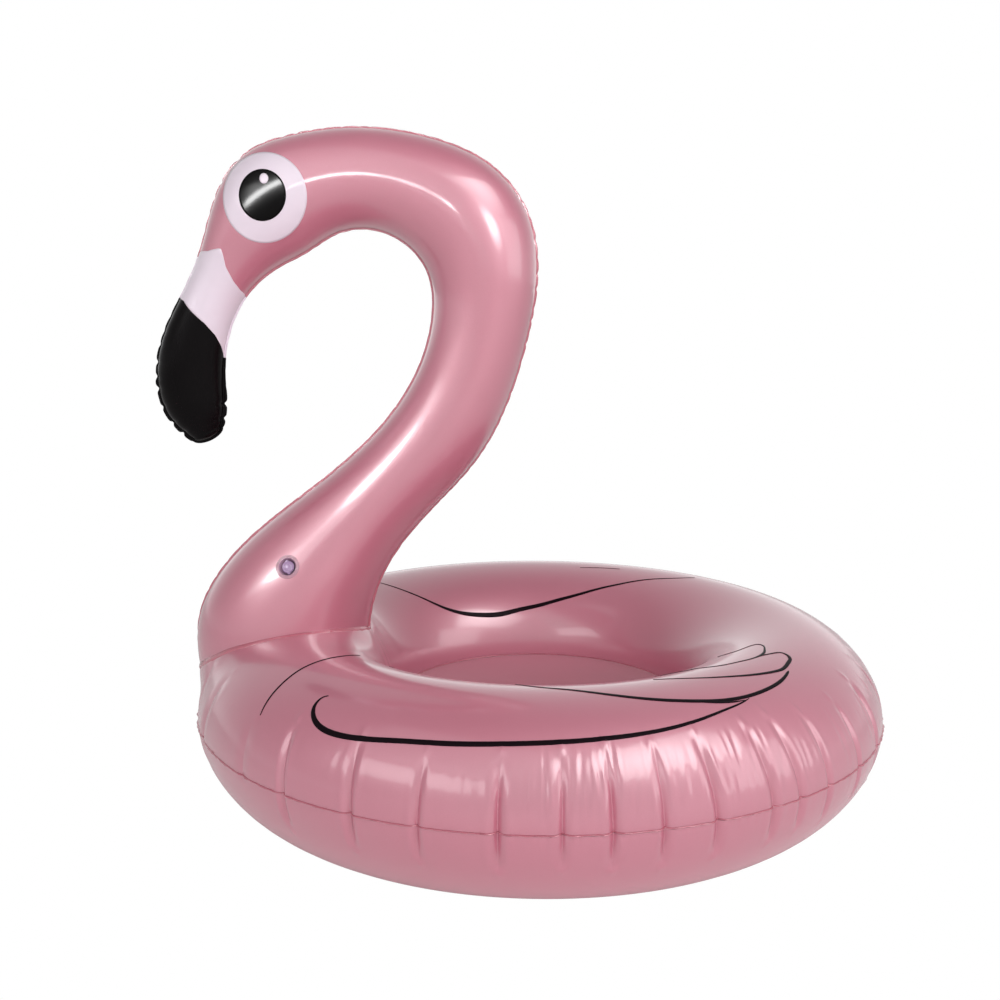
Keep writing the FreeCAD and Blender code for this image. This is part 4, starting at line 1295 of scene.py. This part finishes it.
for side_name, _ in SIDES:
    for name, slot in (("eye_white_", "white_ink"), ("eye_pupil_", "black_ink"),
                       ("beak_white_", "white_ink"), ("beak_black_", "black_ink")):
        name += side_name
        attach(prints[name], "neck", slot, name)
    attach(prints["eye_glint_" + side_name], "neck", "white_ink")
    for line_name in SIDE_LINES[side_name]:
        cad_names = ["wing_lines_" + side_name] if line_name in ("wing", "wing_short") else []
        attach(prints["line_%s_%s" % (line_name, side_name)], "ring", "black_ink", *cad_names)


# ------------------------------------------------------------------ stage
def show_white(tree, shaded, white_kind, output_type):
    """The camera sees an even white; everything else sees the surface as it is lit."""
    path = tree.nodes.new("ShaderNodeLightPath")
    white = add_node(tree, white_kind, {0: (1, 1, 1, 1), 1: 1.0})      # colour, strength
    mixed = add_node(tree, "ShaderNodeMixShader",
                     {0: path.outputs["Is Camera Ray"], 1: shaded, 2: white.outputs[0]})
    output = [n for n in tree.nodes if n.type == output_type][0]
    tree.links.new(mixed.outputs[0], output.inputs["Surface"])


def build_floor():
    mat = plain_material("stage_white", (0.86, 0.84, 0.84), rough=0.9, vary=0.0)
    shader = mat.node_tree.nodes["Principled BSDF"]
    shader.inputs["Emission Color"].default_value = (1.0, 0.98, 0.98, 1)
    shader.inputs["Emission Strength"].default_value = 0.12
    show_white(mat.node_tree, shader.outputs[0], "ShaderNodeEmission", "OUTPUT_MATERIAL")
    half, z = 8, -0.0012
    corners = [(-half, -half, z), (half, -half, z), (half, half, z), (-half, half, z)]
    add_mesh("stage_floor", corners, [(0, 1, 2, 3)], mat)


def area(name, azimuth, height, distance, size, power, target=(0.0, 0.0, 0.3), glossy=True,
         roll=0.0, spread=180.0):
    """Soft box seen only in the gloss, or only in the diffuse light.

    It stands off the target at azimuth (0 = -Y, + towards +X) and height. Angles in degrees.
    """
    turn, rise = math.radians(azimuth), math.radians(height)
    away = Vector((math.sin(turn) * math.cos(rise), -math.cos(turn) * math.cos(rise),
                   math.sin(rise)))
    lamp = bpy.data.lights.new(name, "AREA")
    lamp.shape = "RECTANGLE"
    lamp.size, lamp.size_y = size
    lamp.energy = power
    lamp.spread = math.radians(spread)
    ob = bpy.data.objects.new(name, lamp)
    ob.location = Vector(target) + away * distance
    facing = (-away).to_track_quat("-Z", "Y")
    ob.rotation_euler = (facing @ Euler((0, 0, math.radians(roll))).to_quaternion()).to_euler()
    ob.visible_glossy = glossy
    ob.visible_diffuse = not glossy
    bpy.context.scene.collection.objects.link(ob)
    return ob


def light_only(collection_name, wanted, *lamps):
    """Keeps lamps to the meshes whose names are wanted."""
    receivers = bpy.data.collections.new(collection_name)
    for ob in bpy.data.objects:
        if ob.type == "MESH" and wanted(ob.name):
            receivers.objects.link(ob)
    for lamp in lamps:
        lamp.light_linking.receiver_collection = receivers


def build_lights():
    # one broad soft source that only lights, then boxes seen only in the gloss
    area("soft_front", 14, 34, 3.6, size=(4.2, 3.0), power=77, glossy=False)
    area("key_right", 54.5, 53.8, 2.9, size=(2.4, 1.5), power=8.0, target=(0.1, -0.35, 0.2),
         spread=64)
    strip = area("strip_right", 37, 17, 3.2, size=(1.0, 2.0), power=2.1,
                 target=(-0.05, 0.0, 0.80), spread=27)
    area("fill_right", 70, 18, 3.4, size=(2.2, 1.8), power=21)
    box = area("box_left", -43, 25, 3.0, size=(2.3, 0.58), power=2.3, target=(-0.15, 0.0, 0.62),
               spread=28)
    area("box_left_low", -43, 28, 3.1, size=(2.5, 0.80), power=14)
    area("high_left", -42, 56, 3.2, size=(3.0, 1.9), power=9)
    area("head_strip", -4.5, 6.5, 3.2, size=(0.36, 0.44), power=0.055,
         target=(-0.27, 0.0, 0.92), spread=11)
    # the two boxes that draw the neck's highlights leave out the ring's parts
    light_only("neck_only", lambda name: not name.startswith(("ring", "line", "wing", "floor")),
               strip, box)
    catch = area("pupil_catch", -33, 25, 3.0, size=(2.0, 0.42), power=560, roll=32)
    light_only("pupils_only", lambda name: "pupil" in name, catch)


# the room's grey by height, 0 straight down to 1 straight up
ROOM_GREYS = [(0.42, 0.76), (1.0, 0.26), (0.52, 0.76), (0.58, 0.50), (0.72, 0.34)]


def build_world():
    """Room brightest at the horizon, in front and behind the bird's flank; darkest overhead."""
    world = bpy.data.worlds.new("stage_world")
    bpy.context.scene.world = world
    world.use_nodes = True
    tree = world.node_tree
    background = tree.nodes["Background"]
    background.inputs[0].default_value = (1, 1, 1, 1)
    background.inputs[1].default_value = 1.0
    coords = tree.nodes.new("ShaderNodeTexCoord")
    axes = add_node(tree, "ShaderNodeSeparateXYZ", {0: coords.outputs["Generated"]})
    height = remap(tree, axes.outputs["Z"], source=(-1.0, 1.0), target=(0.0, 1.0))
    ramp = add_node(tree, "ShaderNodeValToRGB", {"Fac": height})
    elements = ramp.color_ramp.elements
    for i, (position, grey) in enumerate(ROOM_GREYS):
        element = elements[i] if i < 2 else elements.new(position)
        element.position = position
        element.color = (grey, grey, grey, 1)
    front = remap(tree, axes.outputs["Y"], source=(0.1, -1.0), target=(0.0, 0.20))
    behind = remap(tree, axes.outputs["Y"], source=(0.35, 0.95), target=(0.0, 0.50))
    extra = add_node(tree, "ShaderNodeMath", {0: front, 1: behind}, operation="ADD")
    total = add_node(tree, "ShaderNodeVectorMath", {0: ramp.outputs[0], 1: extra.outputs[0]},
                     operation="ADD")
    tree.links.new(total.outputs[0], background.inputs[0])
    show_white(tree, background.outputs[0], "ShaderNodeBackground", "OUTPUT_WORLD")


def build_camera():
    lens = bpy.data.cameras.new("view")
    lens.lens = 46.84
    lens.sensor_width = 36.0
    lens.clip_end = 100
    camera = bpy.data.objects.new("view", lens)
    camera.location = tuple(EYE)
    camera.rotation_euler = (PI / 2 - EYE_PITCH, 0, 0)
    scene = bpy.context.scene
    scene.collection.objects.link(camera)
    scene.camera = camera
    scene.view_settings.view_transform = "Standard"
    scene.view_settings.look = "None"


build_floor()
build_lights()
build_world()
build_camera()
